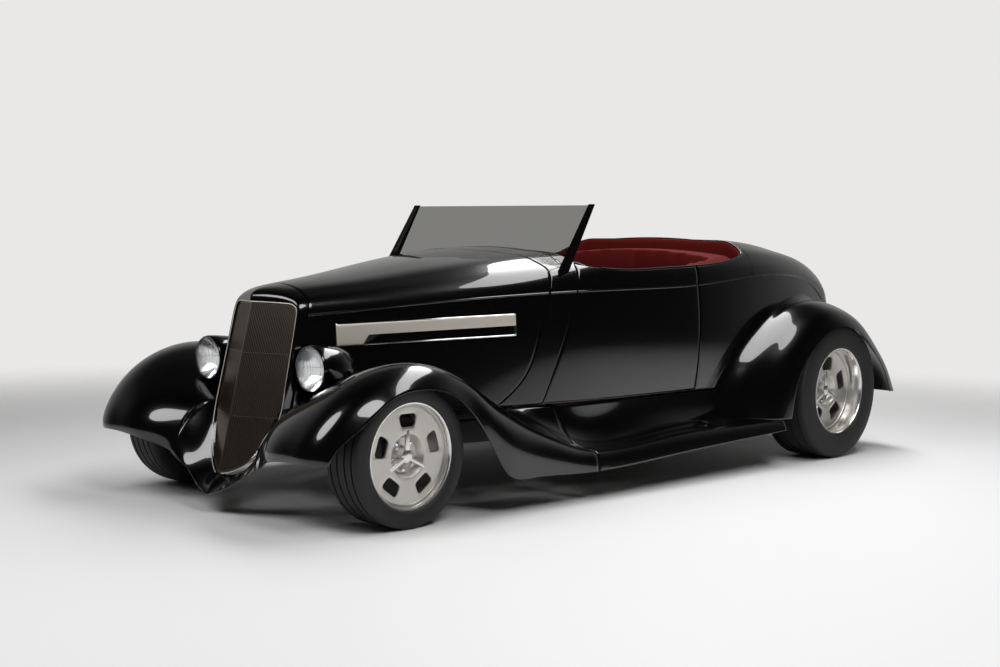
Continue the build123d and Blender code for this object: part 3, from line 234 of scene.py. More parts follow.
def sheet(name, points):
    """A grid laid on points in millimetres: rows upward and columns rearward face out on the left."""
    rows, columns = points.shape[:2]
    bpy.ops.mesh.primitive_grid_add(x_subdivisions=columns - 1, y_subdivisions=rows - 1, size=1)
    obj = bpy.context.object
    obj.name = obj.data.name = name
    obj.data.vertices.foreach_set("co", (points * MM).reshape(-1))
    obj.data.update()
    return obj


def join(name, pieces):
    """Several objects as one."""
    only(pieces[0])
    for piece in pieces[1:]:
        piece.select_set(True)
    if len(pieces) > 1:
        bpy.ops.object.join()
    pieces[0].name = pieces[0].data.name = name
    return pieces[0]


def thicken(obj, wall, edge=1.5, symmetric=False, even=True):
    """Gives a skin its wall, inward, and softens its edges."""
    tidy(obj, recalculate=False)
    if symmetric:
        modify(obj, "MIRROR", use_axis=(False, True, False), use_clip=True, merge_threshold=0.0005)
    modify(obj, "SOLIDIFY", thickness=wall * MM, offset=-1, use_even_offset=even)
    if edge:
        modify(obj, "BEVEL", width=edge * MM, segments=2, limit_method="ANGLE", angle_limit=radians(55))
    tidy(obj, merge=0.00001)
    smooth(obj)


def smooth(obj, angle=38):
    """Smooth shading, with edges sharper than an angle kept."""
    only(obj)
    bpy.ops.object.shade_smooth_by_angle(angle=radians(angle))


def twin(obj, name):
    """The same piece on the right side of the car, with its own mesh."""
    other = obj.copy()
    other.data = obj.data.copy()
    bpy.context.collection.objects.link(other)
    other.name = other.data.name = name
    other.data.transform(Matrix.Diagonal((1, -1, 1, 1)))
    edit(other)
    bpy.ops.mesh.flip_normals()
    bpy.ops.object.mode_set(mode="OBJECT")
    return other


def spun(name, profile, centre, axis, steps=96):
    """A profile of (radius, along) pairs spun round an axis through a centre, both in millimetres."""
    bpy.ops.mesh.primitive_plane_add(size=1)
    obj = bpy.context.object
    obj.name = obj.data.name = name
    axis = Vector(axis).normalized()
    side = axis.orthogonal().normalized()
    middle = Vector(centre) * MM
    edit(obj)
    bpy.ops.mesh.merge(type="CENTER")
    bpy.ops.transform.translate(value=middle + side * profile[0][0] * MM + axis * profile[0][1] * MM)
    for (r0, a0), (r1, a1) in zip(profile, profile[1:]):
        step = side * (r1 - r0) * MM + axis * (a1 - a0) * MM
        bpy.ops.mesh.extrude_region_move(TRANSFORM_OT_translate={"value": step})
    bpy.ops.mesh.select_all(action="SELECT")
    bpy.ops.mesh.spin(steps=steps, angle=2 * pi, center=middle, axis=axis)
    bpy.ops.object.mode_set(mode="OBJECT")
    tidy(obj, FINE_MERGE)
    smooth(obj)
    return obj


def strip(name, path, normals, radius, around=10, full=False):
    """A half-round bead, or a full round roll, along a path, standing on a surface with these normals."""
    path, normals = np.asarray(path, float), np.asarray(normals, float)
    normals /= np.linalg.norm(normals, axis=1, keepdims=True)
    ahead = np.gradient(path, axis=0)
    ahead /= np.linalg.norm(ahead, axis=1, keepdims=True)
    across = np.cross(ahead, normals)
    turn = np.linspace(0, 2 * pi if full else pi, around + 1)
    ring = [path + radius * (np.cos(a) * across + np.sin(a) * normals) for a in turn]
    obj = sheet(name, np.stack(ring))
    tidy(obj, FINE_MERGE, recalculate=False)
    edit(obj)
    bpy.ops.mesh.select_all(action="DESELECT")
    bpy.ops.mesh.select_non_manifold()
    bpy.ops.mesh.fill_holes(sides=0)
    bpy.ops.object.mode_set(mode="OBJECT")
    tidy(obj, FINE_MERGE)
    smooth(obj)
    return obj


# %% [markdown]
# Materials are named for what the real piece is made of.
# Their patterns are set by real sizes in object space, so a grain is as fine on small parts as on large ones.

# %% Materials


def linear(code):
    """A hex colour as linear red, green, blue and alpha."""
    parts = [int(code[i : i + 2], 16) / 255 for i in (0, 2, 4)]
    return [c / 12.92 if c <= 0.04045 else ((c + 0.055) / 1.055) ** 2.4 for c in parts] + [1.0]


def add_node(tree, kind, inputs=(), links=(), **settings):
    """Adds a node, sets its properties and input values, and links other nodes' outputs into it."""
    made = tree.nodes.new(kind)
    for name, value in settings.items():
        setattr(made, name, value)
    for name, value in dict(inputs).items():
        made.inputs[name].default_value = value
    for name, output in dict(links).items():
        tree.links.new(output, made.inputs[name])
    return made


def emboss(tree, height, strength, depth):
    """Bumps a surface by a height, with a depth in millimetres."""
    bump = add_node(
        tree, "ShaderNodeBump", {"Strength": strength, "Distance": depth * MM}, {"Height": height}
    )
    tree.links.new(bump.outputs[0], tree.nodes["Principled BSDF"].inputs["Normal"])


def material(name, colour, rough, metal=0.0, grain=None, **sockets):
    """A surface, with a bump if it has a grain: its size and depth in millimetres, and its stretch."""
    made = bpy.data.materials.new(name)
    made.use_nodes = True
    tree = made.node_tree
    shader = tree.nodes["Principled BSDF"]
    values = {"Base Color": linear(colour), "Roughness": rough, "Metallic": metal, **sockets}
    for socket, value in values.items():
        shader.inputs[socket].default_value = value
    if grain:
        size, depth, stretch = grain
        place = add_node(tree, "ShaderNodeTexCoord")
        scaled = add_node(tree, "ShaderNodeMapping", {"Scale": stretch}, {0: place.outputs["Object"]})
        fineness = {"Scale": 1 / (size * MM), "Detail": 3.0}
        noise = add_node(tree, "ShaderNodeTexNoise", fineness, {"Vector": scaled.outputs[0]})
        emboss(tree, noise.outputs[0], 1.0, depth)
    return made


EVEN = (1, 1, 1)
LACQUER = {"Specular IOR Level": 0.2, "Coat Weight": 1.0, "Coat Roughness": 0.01}
FLUTE, FLUTE_DEPTH = 9.0, 1.2
WAVE_LENGTH = 0.314
paint = material("gloss black paint", "040405", 0.2, **LACQUER)
satin_black = material("satin black enamel", "101112", 0.42)
leather = material("red leather", "5a110e", 0.7, grain=(2.2, 0.25, EVEN), **{"Specular IOR Level": 0.12})
nickel = material("brushed nickel", "ddd5c9", 0.42, 0.45, grain=(1.2, 0.02, (0.04, 1, 1)))
grille_steel = material("dark stainless bars", "80766a", 0.32, 1.0)
chrome = material("polished chrome", "e2e4e6", 0.05, 1.0)
alloy = material("satin aluminium", "cfccc5", 0.36, 0.8, grain=(0.8, 0.01, EVEN))
polished_alloy = material("polished aluminium", "e0dfdc", 0.2, 0.85)
dark_steel = material("dark steel", "2c2d2f", 0.45, 0.8)
iron = material("grey iron", "55575a", 0.6, 0.6, grain=(3, 0.1, EVEN))
rubber = material("tyre rubber", "141414", 0.62, grain=(1.0, 0.04, EVEN))
lens_glass = material("clear lamp glass", "ffffff", 0.0, **{"Transmission Weight": 1.0, "IOR": 1.45})
tinted_glass = material("grey tinted glass", "8a8a88", 0.0, **{"Transmission Weight": 1.0, "IOR": 1.06})
red_lens = material("red lens plastic", "8c0808", 0.08, **{"Coat Weight": 1.0})
exhaust_steel = material("heat-browned steel", "6e5340", 0.4, 1.0)
black_leather = material("black leather", "131212", 0.45, grain=(1.8, 0.2, EVEN))

# The lamp glass is pressed with upright flutes: a wave texture at scale 1 repeats every 0.314 metres
tree = lens_glass.node_tree
place = add_node(tree, "ShaderNodeTexCoord")
fineness = {"Scale": WAVE_LENGTH / (FLUTE * MM)}
flutes = add_node(
    tree, "ShaderNodeTexWave", fineness, {"Vector": place.outputs["Object"]}, bands_direction="Y"
)
emboss(tree, flutes.outputs[1], 0.6, FLUTE_DEPTH)


def coat(obj, surface):
    """Gives a piece one material."""
    obj.data.materials.clear()
    obj.data.materials.append(surface)


def finish(obj, surface, body, slot, *nodes):
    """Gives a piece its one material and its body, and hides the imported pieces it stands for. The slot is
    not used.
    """
    if surface:
        coat(obj, surface)
    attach(obj, body)
    if nodes:
        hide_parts(*nodes)
    return obj


def finish_both(left, *details):
    """Finishes a left piece and its twin, with right for left in every name."""
    right = twin(left, left.name.replace("left", "right"))
    finish(left, *details)
    surface, *names = details
    finish(right, surface, *[name.replace("left", "right") for name in names])


FRAME_FINISH = {
    satin_black: "floor_pan frame_rails crossmembers radius_rods fuel_tank tie_rod dash",
    paint: "grille_shell windshield_posts",
    grille_steel: "grille_bars",
    iron: "engine rear_axle front_axle knuckle_left knuckle_right",
    dark_steel: "driveshaft spring_units radiator steering_column",
    exhaust_steel: "exhaust_pipes",
    leather: "door_trim_left door_trim_right",
    black_leather: "steering_wheel",
    tinted_glass: "windshield_glass",
    red_lens: "tail_lamps",
}
for surface, names in FRAME_FINISH.items():
    for node_name in names.split():
        coat(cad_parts[node_name], surface)
print("materials:", len(bpy.data.materials))

# %% [markdown]
# Hood, cowl, doors and tail are one skin, parted by shut lines that are drawn in the side view.
# On the real car they are pressed panels with folded edges.
# Here each is a patch of the skin between two lines, so neighbours flow into each other across the gap.

# %% Body panels
HOOD_REAR_Z = (400, 470, 710, 880, 960, 1100)
HOOD_REAR_X = (front(-715), front(-800), front(-915), front(-972), front(-1000), front(-1008))
DOOR_REAR_X = rear(950)
BEAD_GAP_T = 0.003
DASH_EDGE_X = front(-1172)
DOOR_TOP_Y = 560.0
NOSE_FOOT_X, NOSE_RAKE = front(264), 0.2367
DOOR_FOOT_X, DOOR_FOOT_Z, DOOR_RAKE = front(-896), 300, 0.372
SKIN_WALL, FOLDED_WALL, DOOR_WALL = 12, 18, 40


def hood_front_x(y, z):
    return NOSE_FOOT_X - NOSE_RAKE * z


def hood_rear_x(y, z):
    return spline(HOOD_REAR_Z, HOOD_REAR_X, z)


def hood_shut_x(y, z):
    return hood_rear_x(y, z) + SHUT_GAP


def door_front_x(y, z):
    return DOOR_FOOT_X - DOOR_RAKE * (z - DOOR_FOOT_Z)


def level(place):
    """A shut line at the same place all the way up."""
    return lambda y, z: np.full(np.shape(z), place)


# The rim of the cockpit in the side view: it dips along the doors and climbs to the tail behind the seat
RIM_X = (front(-1174), front(-1280), front(-1420), front(-1700), front(-1980))
RIM_X += (rear(628), rear(538), rear(490), rear(462))
RIM_Z = (1006, 993, 983, 989, 999, 1026, 1045, 1080, 1135)


def rim_t(x):
    """How far up the section the cockpit's rim lies."""
    return t_at_height(x, spline([-v for v in RIM_X], RIM_Z, -np.asarray(x)))


def patch(name, ahead, behind, low, high, columns, rows):
    """A patch of skin between two shut lines, from a low to a high edge given as t at a place x."""
    along, up = np.linspace(0, 1, columns)[None, :], np.linspace(0, 1, rows)[:, None]
    y, z = np.full((rows, columns), 500.0), np.full((rows, columns), 800.0)
    for _ in range(12):
        x = ahead(y, z) * (1 - along) + behind(y, z) * along
        t = low(x) + (high(x) - low(x)) * up
        points = skin(x, t)
        y, z = points[..., 1], points[..., 2]
    return sheet(name, points)


def ribbed(name, places, low, high, rows):
    """A patch of skin over chosen places along the car."""
    x = np.asarray(places)[None, :]
    t = low(x) + (high(x) - low(x)) * np.linspace(0, 1, rows)[:, None]
    return sheet(name, skin(x, t))


def at(value):
    """A low or high edge at the same t all along."""
    return lambda x: np.full(np.shape(x), value)


def cowl_side_top(x):
    return t_where(x, DOOR_TOP_Y)


hood_top = patch("hood_top_skin", hood_front_x, hood_shut_x, at(BELT_T + BEAD_GAP_T), at(1), 90, 40)
thicken(hood_top, SKIN_WALL, symmetric=True)
finish(hood_top, paint, "hood", "gloss_black", "hood_top")

hood_side = patch("hood_sides_skin", hood_front_x, hood_shut_x, at(0), at(BELT_T - BEAD_GAP_T), 90, 24)
thicken(hood_side, SKIN_WALL, symmetric=True)
finish(hood_side, paint, "chassis", "gloss_black", "hood_sides")

door_corner_x = DASH_EDGE_X
for _ in range(12):
    door_corner_x = door_front_x(DOOR_TOP_Y, skin(door_corner_x, cowl_side_top(door_corner_x))[..., 2])
cowl = join(
    "cowl_skin",
    [
        patch("cowl_side", hood_rear_x, door_front_x, at(0), cowl_side_top, 24, 36),
        patch("cowl_top", hood_rear_x, level(door_corner_x), cowl_side_top, at(1), 24, 30),
        patch("dash_top", level(door_corner_x), level(DASH_EDGE_X), cowl_side_top, at(1), 4, 30),
    ],
)
thicken(cowl, FOLDED_WALL, symmetric=True)
finish(cowl, paint, "chassis", "gloss_black", "cowl")

door = patch(
    "door_left_skin",
    lambda y, z: door_front_x(y, z) - SHUT_GAP,
    level(DOOR_REAR_X + SHUT_GAP),
    at(BEAD_GAP_T),
    rim_t,
    64,
    48,
)
thicken(door, DOOR_WALL, edge=2.0)
finish_both(door, paint, "door_left", "gloss_black", "door_left")
print("hood, cowl and doors made")

# %% [markdown]
# The tail carries the trunk lid, so its skin is laid in patches round the opening.
# The lid is the same skin inside a line drawn a shut gap smaller, with rounded corners.

# %% Tail and trunk lid
LID_FRONT_X, LID_REAR_X = rear(330), rear(-330)
LID_FRONT_Y, LID_REAR_Y = 365.0, 250.0
LID_CORNER, LID_WALL = 55.0, 20
STRIP_Y, TAIL_Y = 406, 6
WHEELHOUSE_R = REAR_TYRE_R + 50
WHEELHOUSE_Y = 594.0
TAIL_X = BODY[-1, 0]
COCKPIT_END_X = rear(462)
COCKPIT_CORNER_X = rear(469.7)
hole_front, hole_rear = LID_FRONT_X + SHUT_GAP, LID_REAR_X - SHUT_GAP


def lid_y(x, grow):
    """Half the width of the lid, or of its opening when grown by a gap."""
    ahead, behind = LID_FRONT_X + grow, LID_REAR_X - grow
    side = np.interp(x, (behind, ahead), (LID_REAR_Y + grow, LID_FRONT_Y + grow))
    end = np.clip(np.minimum(ahead - x, x - behind), 0, LID_CORNER)
    return side - (LID_CORNER - np.sqrt(LID_CORNER**2 - (LID_CORNER - end) ** 2))


def tail_top(x):
    """The upper edge of the quarter panel: along the cockpit, in to the lid's opening and to the tail."""
    ahead = np.interp(-x, (-COCKPIT_END_X, -hole_front), (STRIP_Y, lid_y(hole_front, SHUT_GAP)))
    behind = np.interp(-x, (-hole_rear, -TAIL_X), (lid_y(hole_rear, SHUT_GAP), TAIL_Y))
    y = np.where(x > hole_front, ahead, np.where(x < hole_rear, behind, lid_y(x, SHUT_GAP)))
    rim = rim_t(np.maximum(x, COCKPIT_END_X))
    return np.where(x > COCKPIT_END_X, np.minimum(t_where(x, y), rim), t_where(x, y))


def cockpit_end(x):
    """The upper edge of the strip before the lid: the cockpit's rim, and then the middle of the tail."""
    return np.where(x > COCKPIT_END_X, rim_t(np.maximum(x, COCKPIT_END_X)), 1.0)


def places(*stops):
    """Places along the car through stops of (x, how many steps to the next)."""
    runs = [np.linspace(a, b, n, endpoint=False) for (a, n), (b, _) in zip(stops, stops[1:])]
    return np.concatenate([*runs, [stops[-1][0]]])


before_lid = places((COCKPIT_CORNER_X, 12), (COCKPIT_END_X, 10), (hole_front, 0))
after_lid = places((hole_rear, 30), (TAIL_X, 0))
quarter = places(
    (DOOR_REAR_X, 20),
    (rear(560), 8),
    (COCKPIT_CORNER_X, 12),
    (COCKPIT_END_X, 10),
    (hole_front, 14),
    (hole_front - 60, 30),
    (hole_rear + 60, 14),
    (hole_rear, 30),
    (TAIL_X, 0),
)
tail = join(
    "tail_skin",
    [
        ribbed("quarter", quarter, at(0), tail_top, 70),
        ribbed("before_lid", before_lid, tail_top, cockpit_end, 24),
        ribbed("after_lid", after_lid, tail_top, at(1), 24),
    ],
)
for vertex in tail.data.vertices:
    x, y, z = vertex.co / MM
    if (x - REAR_AXLE_X) ** 2 + (z - REAR_TYRE_R) ** 2 < WHEELHOUSE_R**2:
        vertex.co.y = min(y, WHEELHOUSE_Y) * MM
thicken(tail, FOLDED_WALL, symmetric=True, even=False)
finish(tail, paint, "chassis", "gloss_black", "rear_body")

lid_places = places((LID_FRONT_X, 14), (LID_FRONT_X - 60, 36), (LID_REAR_X + 60, 14), (LID_REAR_X, 0))
lid = ribbed("trunk_lid_skin", lid_places, lambda x: t_where(x, lid_y(x, 0)), at(1), 30)
thicken(lid, LID_WALL, symmetric=True)
finish(lid, paint, "deck", "gloss_black", "deck_lid")
print("tail and lid made")

# %% [markdown]
# A half-round moulding runs along the belt and falls with the deck to the rear fender.
# It is one line in the side view, cut at the shut lines, so each length rides on its own panel.

# %% Belt mouldings
BEAD_X = [front(v) for v in (82, -963, -1529, -1982, -2368, -2699, -2921, -3075, -3188)]
BEAD_Z = (797, 882, 895, 907, 935, 944, 926, 876, 809)
BEAD_R = 5.0


def skin_normal(x, t):
    """The outward direction of the skin."""
    along = skin(x - 1, t) - skin(x + 1, t)
    up = skin(x, t + 0.002) - skin(x, t - 0.002)
    return np.cross(along, up)


def bead(name, ahead, behind, count):
    """A length of the moulding on the left side."""
    x = np.linspace(ahead, behind, count)
    t = t_at_height(x, spline([-v for v in BEAD_X], BEAD_Z, -x))
    return strip(name, skin(x, t), skin_normal(x, t), BEAD_R)


BEAD_LENGTHS = [
    ("hood_bead", "chassis", front(72), front(-964), 60),
    ("cowl_bead", "chassis", front(-976), front(-1112), 12),
    ("door_bead", "door_left", front(-1122), rear(957), 40),
    ("tail_bead", "chassis", rear(948), rear(-292), 80),
]
for name, body, ahead, behind, count in BEAD_LENGTHS:
    finish_both(bead(f"{name}_left", ahead, behind, count), paint, body, "gloss_black")
print("mouldings made")

# %% [markdown]
# A bright trim lies on each hood side: a block that runs back as a bar, with a thin rail round its slot.
# Its face is a sheet laid on the skin and given a wall, and the rail is a half-round strip.

# %% Hood trims
TRIM_X = [front(v) for v in (-34, -140, -165, -800)]
TRIM_LOW_Z, TRIM_TOP_Z, SLOT_LOW_Z = (676, 681, 719, 746), (761, 765, 766, 791), (676, 681, 682, 706)
TRIM_PROUD, TRIM_WALL = 8.0, 9
RAIL_R, RAIL_OUT = 4.0, 2


def on_side(x, z, out=0.0):
    """Points on the left side at heights, standing off by a distance, and the skin's direction there."""
    t = t_at_height(x, z)
    normal = skin_normal(x, t)
    normal /= np.linalg.norm(normal, axis=-1, keepdims=True)
    return skin(x, t) + out * normal, normal


def along_trim(x, heights):
    """A line of the trim between its corners."""
    return np.interp(-np.asarray(x), [-v for v in TRIM_X], heights)


x = np.concatenate([np.linspace(TRIM_X[0], TRIM_X[1], 14), np.linspace(TRIM_X[2], TRIM_X[3], 60)])
rise = np.linspace(0, 1, 8)[:, None]
heights = along_trim(x, TRIM_LOW_Z) * (1 - rise) + along_trim(x, TRIM_TOP_Z) * rise
plate = sheet("trim_plate", on_side(np.tile(x, (8, 1)), heights, TRIM_PROUD)[0])
thicken(plate, TRIM_WALL, edge=2.0)
back = x[::-1]
rail_x = np.concatenate([x, np.full(8, x[-1]), back, np.full(8, x[0])])
rail_z = np.concatenate(
    [
        along_trim(x, SLOT_LOW_Z) - RAIL_OUT,
        np.linspace(SLOT_LOW_Z[-1] - RAIL_OUT, TRIM_TOP_Z[-1] + RAIL_OUT, 8),
        along_trim(back, TRIM_TOP_Z) + RAIL_OUT,
        np.linspace(TRIM_TOP_Z[0] + RAIL_OUT, SLOT_LOW_Z[0] - RAIL_OUT, 8),
    ]
)
keep = np.concatenate([[True], np.abs(np.diff(rail_x)) + np.abs(np.diff(rail_z)) > 0.01])
rail = strip("trim_rail", *on_side(rail_x[keep], rail_z[keep]), RAIL_R, around=8)
plates = join("hood_trim_plates", [plate, twin(plate, "trim_plate_right")])
finish(plates, nickel, "chassis", "satin_nickel", "hood_trims")
finish(join("hood_trim_rails", [rail, twin(rail, "trim_rail_right")]), chrome, "chassis", "satin_nickel")
print("hood trims made")

# %% [markdown]
# The fenders are long sheets rolled round the wheels.
# Five points carry each section from its root in the body, over the crown, to the lip.
# The sections are set round the hub like the leaves of a fan, and then run back square to the running board.

# %% Fenders and running boards
# Columns: angle round the hub or place along the car, then (y, height) of root, rise, crown, bulge and lip
FRONT_FAN = [
    (-14, 292, 378, 440, 392, 600, 412, 722, 405, 785, 372),
    (0, 292, 345, 440, 432, 600, 447, 722, 440, 785, 405),
    (25, 290, 282, 430, 362, 630, 407, 765, 388, 832, 322),
    (55, 250, 190, 450, 290, 650, 360, 790, 338, 847, 282),
    (90, 250, 172, 460, 272, 670, 352, 802, 326, 850, 263),
]
FRONT_RUN = [
    (-150, 300, 440, 490, 556, 680, 622, 807, 592, 851, 517),
    (-300, 360, 430, 530, 532, 695, 570, 816, 522, 852, 392),
    (-400, 400, 410, 560, 486, 705, 512, 820, 450, 853, 250),
    (-470, 430, 398, 575, 455, 712, 470, 823, 402, 854, 165),
    (-620, 520, 392, 615, 392, 726, 382, 829, 320, 856, 142),
    (-820, 590, 390, 655, 332, 740, 292, 836, 248, 859, 134),
    (-1011, 636, 388, 668, 276, 748, 224, 842, 204, 862, 128),
    (-1500, 644, 388, 672, 284, 748, 233, 844, 214, 866, 146),
    (-2070, 646, 388, 674, 292, 748, 245, 846, 231, 868, 170),
    (-2420, 652, 388, 680, 296, 752, 250, 848, 236, 872, 184),
]
# The rear pair has one more pair before the rise: a hollow where the sheet turns up against the body
REAR_FAN = [
    (0, 658, 812, 690, 782, 735, 730, 800, 628, 862, 543, 882, 455),
    (12, 657, 762, 682, 716, 730, 664, 800, 580, 864, 490, 885, 412),
    (35, 657, 630, 683, 583, 722, 558, 800, 500, 866, 434, 886, 366),
    (62, 628, 548, 655, 502, 705, 496, 795, 462, 864, 404, 886, 338),
    (90, 606, 508, 634, 463, 690, 461, 788, 438, 862, 388, 886, 333),
    (120, 560, 506, 588, 462, 668, 460, 782, 438, 860, 388, 886, 335),
    (148, 508, 526, 538, 484, 645, 486, 776, 464, 856, 416, 884, 360),
    (170, 360, 590, 470, 574, 620, 566, 770, 542, 850, 500, 881, 430),
    (184, 340, 604, 470, 614, 610, 617, 770, 608, 846, 576, 878, 488),
]
REAR_FIRST_DROP = 107.0
BOARD_START = front(-1011)
FENDER_WALL = 6.0
TUCK, SILL_Z = 14.0, 396


def fan_points(rows, axle_x, hub_z, first_drop=0.0):
    """The section points of a fan of planes through the hub line."""
    points = []
    for i, (angle, *pairs) in enumerate(rows):
        a, drop = radians(angle), 0.0 if i else first_drop
        section = zip(pairs[::2], pairs[1::2])
        points.append([(axle_x + h * cos(a), y, hub_z - drop + h * sin(a)) for y, h in section])
    return points


def run_points(rows):
    """The section points of planes square across the car."""
    return [[(front(dx), y, h) for y, h in zip(pairs[::2], pairs[1::2])] for dx, *pairs in rows]


def chords(points):
    """Distances along a chain of points."""
    return np.concatenate([[0], np.cumsum(np.linalg.norm(np.diff(points, axis=0), axis=1))])


def swept(sections, columns, rows):
    """A dense sheet through the sections, as rows from root to lip and columns rearward."""
    across = np.stack([spline(chords(s), s, np.linspace(0, chords(s)[-1], rows)) for s in np.array(sections)])
    along = chords(across[:, int(rows * 0.7)])
    return spline(along, across, np.linspace(0, along[-1], columns)).transpose(1, 0, 2)


def rooted(points, rows):
    """The same sheet with its root drawn out to lie just inside the body's skin."""
    x, y, z = np.moveaxis(points, -1, 0)
    width = np.where((x < front(190)) & (x > TAIL_X), skin_y(x, z), 0)
    dense = len(points)
    inside = (y < width - TUCK) & (z > SILL_Z)
    last = np.where(inside.any(0), dense - 1 - np.argmax(inside[::-1], 0), 0)
    soft = np.convolve(np.pad(last, 3, mode="edge"), np.ones(7) / 7, "valid")
    trimmed = np.empty((rows, points.shape[1], 3))
    for column, first in enumerate(soft):
        wanted = np.linspace(first, dense - 1, rows)
        for k in range(3):
            trimmed[:, column, k] = np.interp(wanted, np.arange(dense), points[:, column, k])
    return trimmed


# The lower edge of the apron in the front view, from the prow to the nose of the fender
NOSE_Y, NOSE_Z = (200, 292, 400, 500, 620), (165, 209, 250, 272, FRONT_TYRE_R)


def nosed(points):
    """The same sheet with its nose cut back to the apron's lower edge."""
    count = points.shape[1]
    cut = np.empty_like(points)
    for k, line in enumerate(points):
        edge = spline(NOSE_Y, NOSE_Z, np.minimum(line[:, 1], NOSE_Y[-1]))
        above = line[:, 2] - edge
        first = max(int(np.argmax(above >= 0)), 1)
        start = first - above[first] / (above[first] - above[first - 1])
        for j in range(3):
            cut[k, :, j] = np.interp(np.linspace(start, count - 1, count), np.arange(count), line[:, j])
    return cut


def fender(name, points):
    """A finished fender sheet from rows of points, root to lip."""
    obj = sheet(name, points[::-1])
    thicken(obj, FENDER_WALL, edge=2.4)
    return obj


front_sections = fan_points(FRONT_FAN, FRONT_AXLE_X, FRONT_TYRE_R) + run_points(FRONT_RUN)
front_sheet = nosed(swept(front_sections, 440, 160))
board_column = int(np.argmin(np.abs(front_sheet[120, :, 0] - BOARD_START)))
front_left = fender("front_fender_left_skin", rooted(front_sheet[:, :board_column:2], 56))
finish_both(front_left, paint, "chassis", "gloss_black", "front_fender_left")

board = fender("board_left", front_sheet[::3, board_column + 1 :: 2])
board = join("running_boards_skin", [board, twin(board, "board_right")])
finish(board, paint, "chassis", "gloss_black", "running_boards")

rear_sheet = swept(fan_points(REAR_FAN, REAR_AXLE_X, REAR_TYRE_R, REAR_FIRST_DROP), 200, 160)
rear_left = fender("rear_fender_left_skin", rooted(rear_sheet, 56))
finish_both(rear_left, paint, "chassis", "gloss_black", "rear_fender_left")
print("fenders and boards made")

# %% [markdown]
# The grille shell rolls forward from the hood's front edge and in to a vee of bars that leans back.
# Below the bars the prow gathers the two aprons to a point.

# %% Grille shell and prow
GRILLE_FOOT_X, GRILLE_SWEEP = front(382), 0.405
GRILLE_HALF, GRILLE_TOP_Z, GRILLE_SIDE_Z, GRILLE_TIP_Z = 226.0, 852.0, 440.0, 160.0
SHELL_LEAD = 7.0


def vee(y, z, lead=0.0):
    """Points of the leaning vee that the bars lie in."""
    return np.stack([GRILLE_FOOT_X + lead - GRILLE_SWEEP * np.abs(y) - NOSE_RAKE * z, y, z], axis=-1)


def even(points, count):
    """A chain of points at even spacing."""
    along = chords(points)
    spots = np.linspace(0, along[-1], count)
    return np.stack([np.interp(spots, along, points[:, k]) for k in range(3)], axis=-1)


def grille_edge(low_z):
    """The left edge of the grille from a height up, round the corner and in to the middle."""
    drop = np.arcsin((GRILLE_SIDE_Z - low_z) / (GRILLE_SIDE_Z - GRILLE_TIP_Z))
    arc = np.linspace(drop, 0, 30, endpoint=False)
    u = np.linspace(0, 1, 14)
    bends = ((212, 210, 160), (808, 846, 848))
    corner = [(1 - u) ** 2 * a + 2 * u * (1 - u) * b + u**2 * c for a, b, c in bends]
    middle = np.linspace(150, 0, 12)
    y = np.concatenate([GRILLE_HALF * np.cos(arc), [GRILLE_HALF], corner[0], middle])
    z = np.concatenate(
        [
            GRILLE_SIDE_Z - (GRILLE_SIDE_Z - GRILLE_TIP_Z) * np.sin(arc),
            [GRILLE_SIDE_Z],
            corner[1],
            GRILLE_TOP_Z - 4 * (middle / 160) ** 2,
        ]
    )
    return vee(y, z, SHELL_LEAD)


SHELL_LOW_Z = 330.0
t = np.linspace(0, 1, 200)
hood_edge = skin(np.full(200, front(100)), t)
for _ in range(12):
    hood_edge = skin(hood_front_x(None, hood_edge[:, 2]) + SHUT_GAP, t)
foot = hood_edge[:1] + [(NOSE_RAKE * (hood_edge[0, 2] - SHELL_LOW_Z), 0, SHELL_LOW_Z - hood_edge[0, 2])]
outer = even(np.concatenate([foot, hood_edge]), 90)
inner = even(grille_edge(SHELL_LOW_Z), 90)
slope = skin(outer[:, 0] + 20, np.linspace(0, 1, 90)) - skin(outer[:, 0], np.linspace(0, 1, 90))
bend = outer + slope / 20 * (inner[:, :1] + 5 - outer[:, :1])
bend[-1, 1] = 0
u = np.linspace(0, 1, 16)[None, :, None]
ahead, behind = inner[:, None], outer[:, None]
near, far = ahead + 0.7 * (bend[:, None] - ahead), behind + 0.8 * (bend[:, None] - behind)
surround = sheet(
    "surround", (1 - u) ** 3 * ahead + 3 * u * (1 - u) ** 2 * near + 3 * u**2 * (1 - u) * far + u**3 * behind
)

# Prow sections at a place across, as (x, z) of the lower edge, the middle and the upper edge
PROW = [
    (0, (393, 76), (372, 116), (338, 152)),
    (112, (379, 112), (330, 145), (272, 184)),
    (205, (360, 162), (290, 240), (204, 336)),
    (284, (365, 207), (300, 345), (112, 450)),
]
across = np.linspace(0, 284, 40)
low, middle, high = [spline([p[0] for p in PROW], [p[k] for p in PROW], across)[:, None] for k in (1, 2, 3)]
u = np.linspace(0, 1, 24)[None, :, None]
side_view = (1 - u) * (1 - 2 * u) * low + 4 * u * (1 - u) * middle + u * (2 * u - 1) * high
prow_y = np.broadcast_to(across[:, None], side_view.shape[:2])
prow = sheet("prow", np.stack([FRONT_AXLE_X + side_view[..., 0], prow_y, side_view[..., 1]], axis=-1))
thicken(surround, 5, symmetric=True)
thicken(prow, 8, edge=2.5, symmetric=True)
finish(join("grille_shell_skin", [surround, prow]), paint, "chassis", "gloss_black", "grille_shell")

rim_path = grille_edge(GRILLE_TIP_Z + 1)
rim_path = np.concatenate([rim_path, rim_path[-2::-1] * (1, -1, 1)])
grille_bead = strip("grille_bead", rim_path, np.tile((1.0, 0, NOSE_RAKE), (len(rim_path), 1)), 2.2)
finish(grille_bead, nickel, "chassis", "satin_nickel")
print("grille shell made")

# %% [markdown]
# The tyres are spun from half a section, grooves and all.
# The front pair is low and wide, the rear pair is taller and wider, as on a car built to sit nose down.

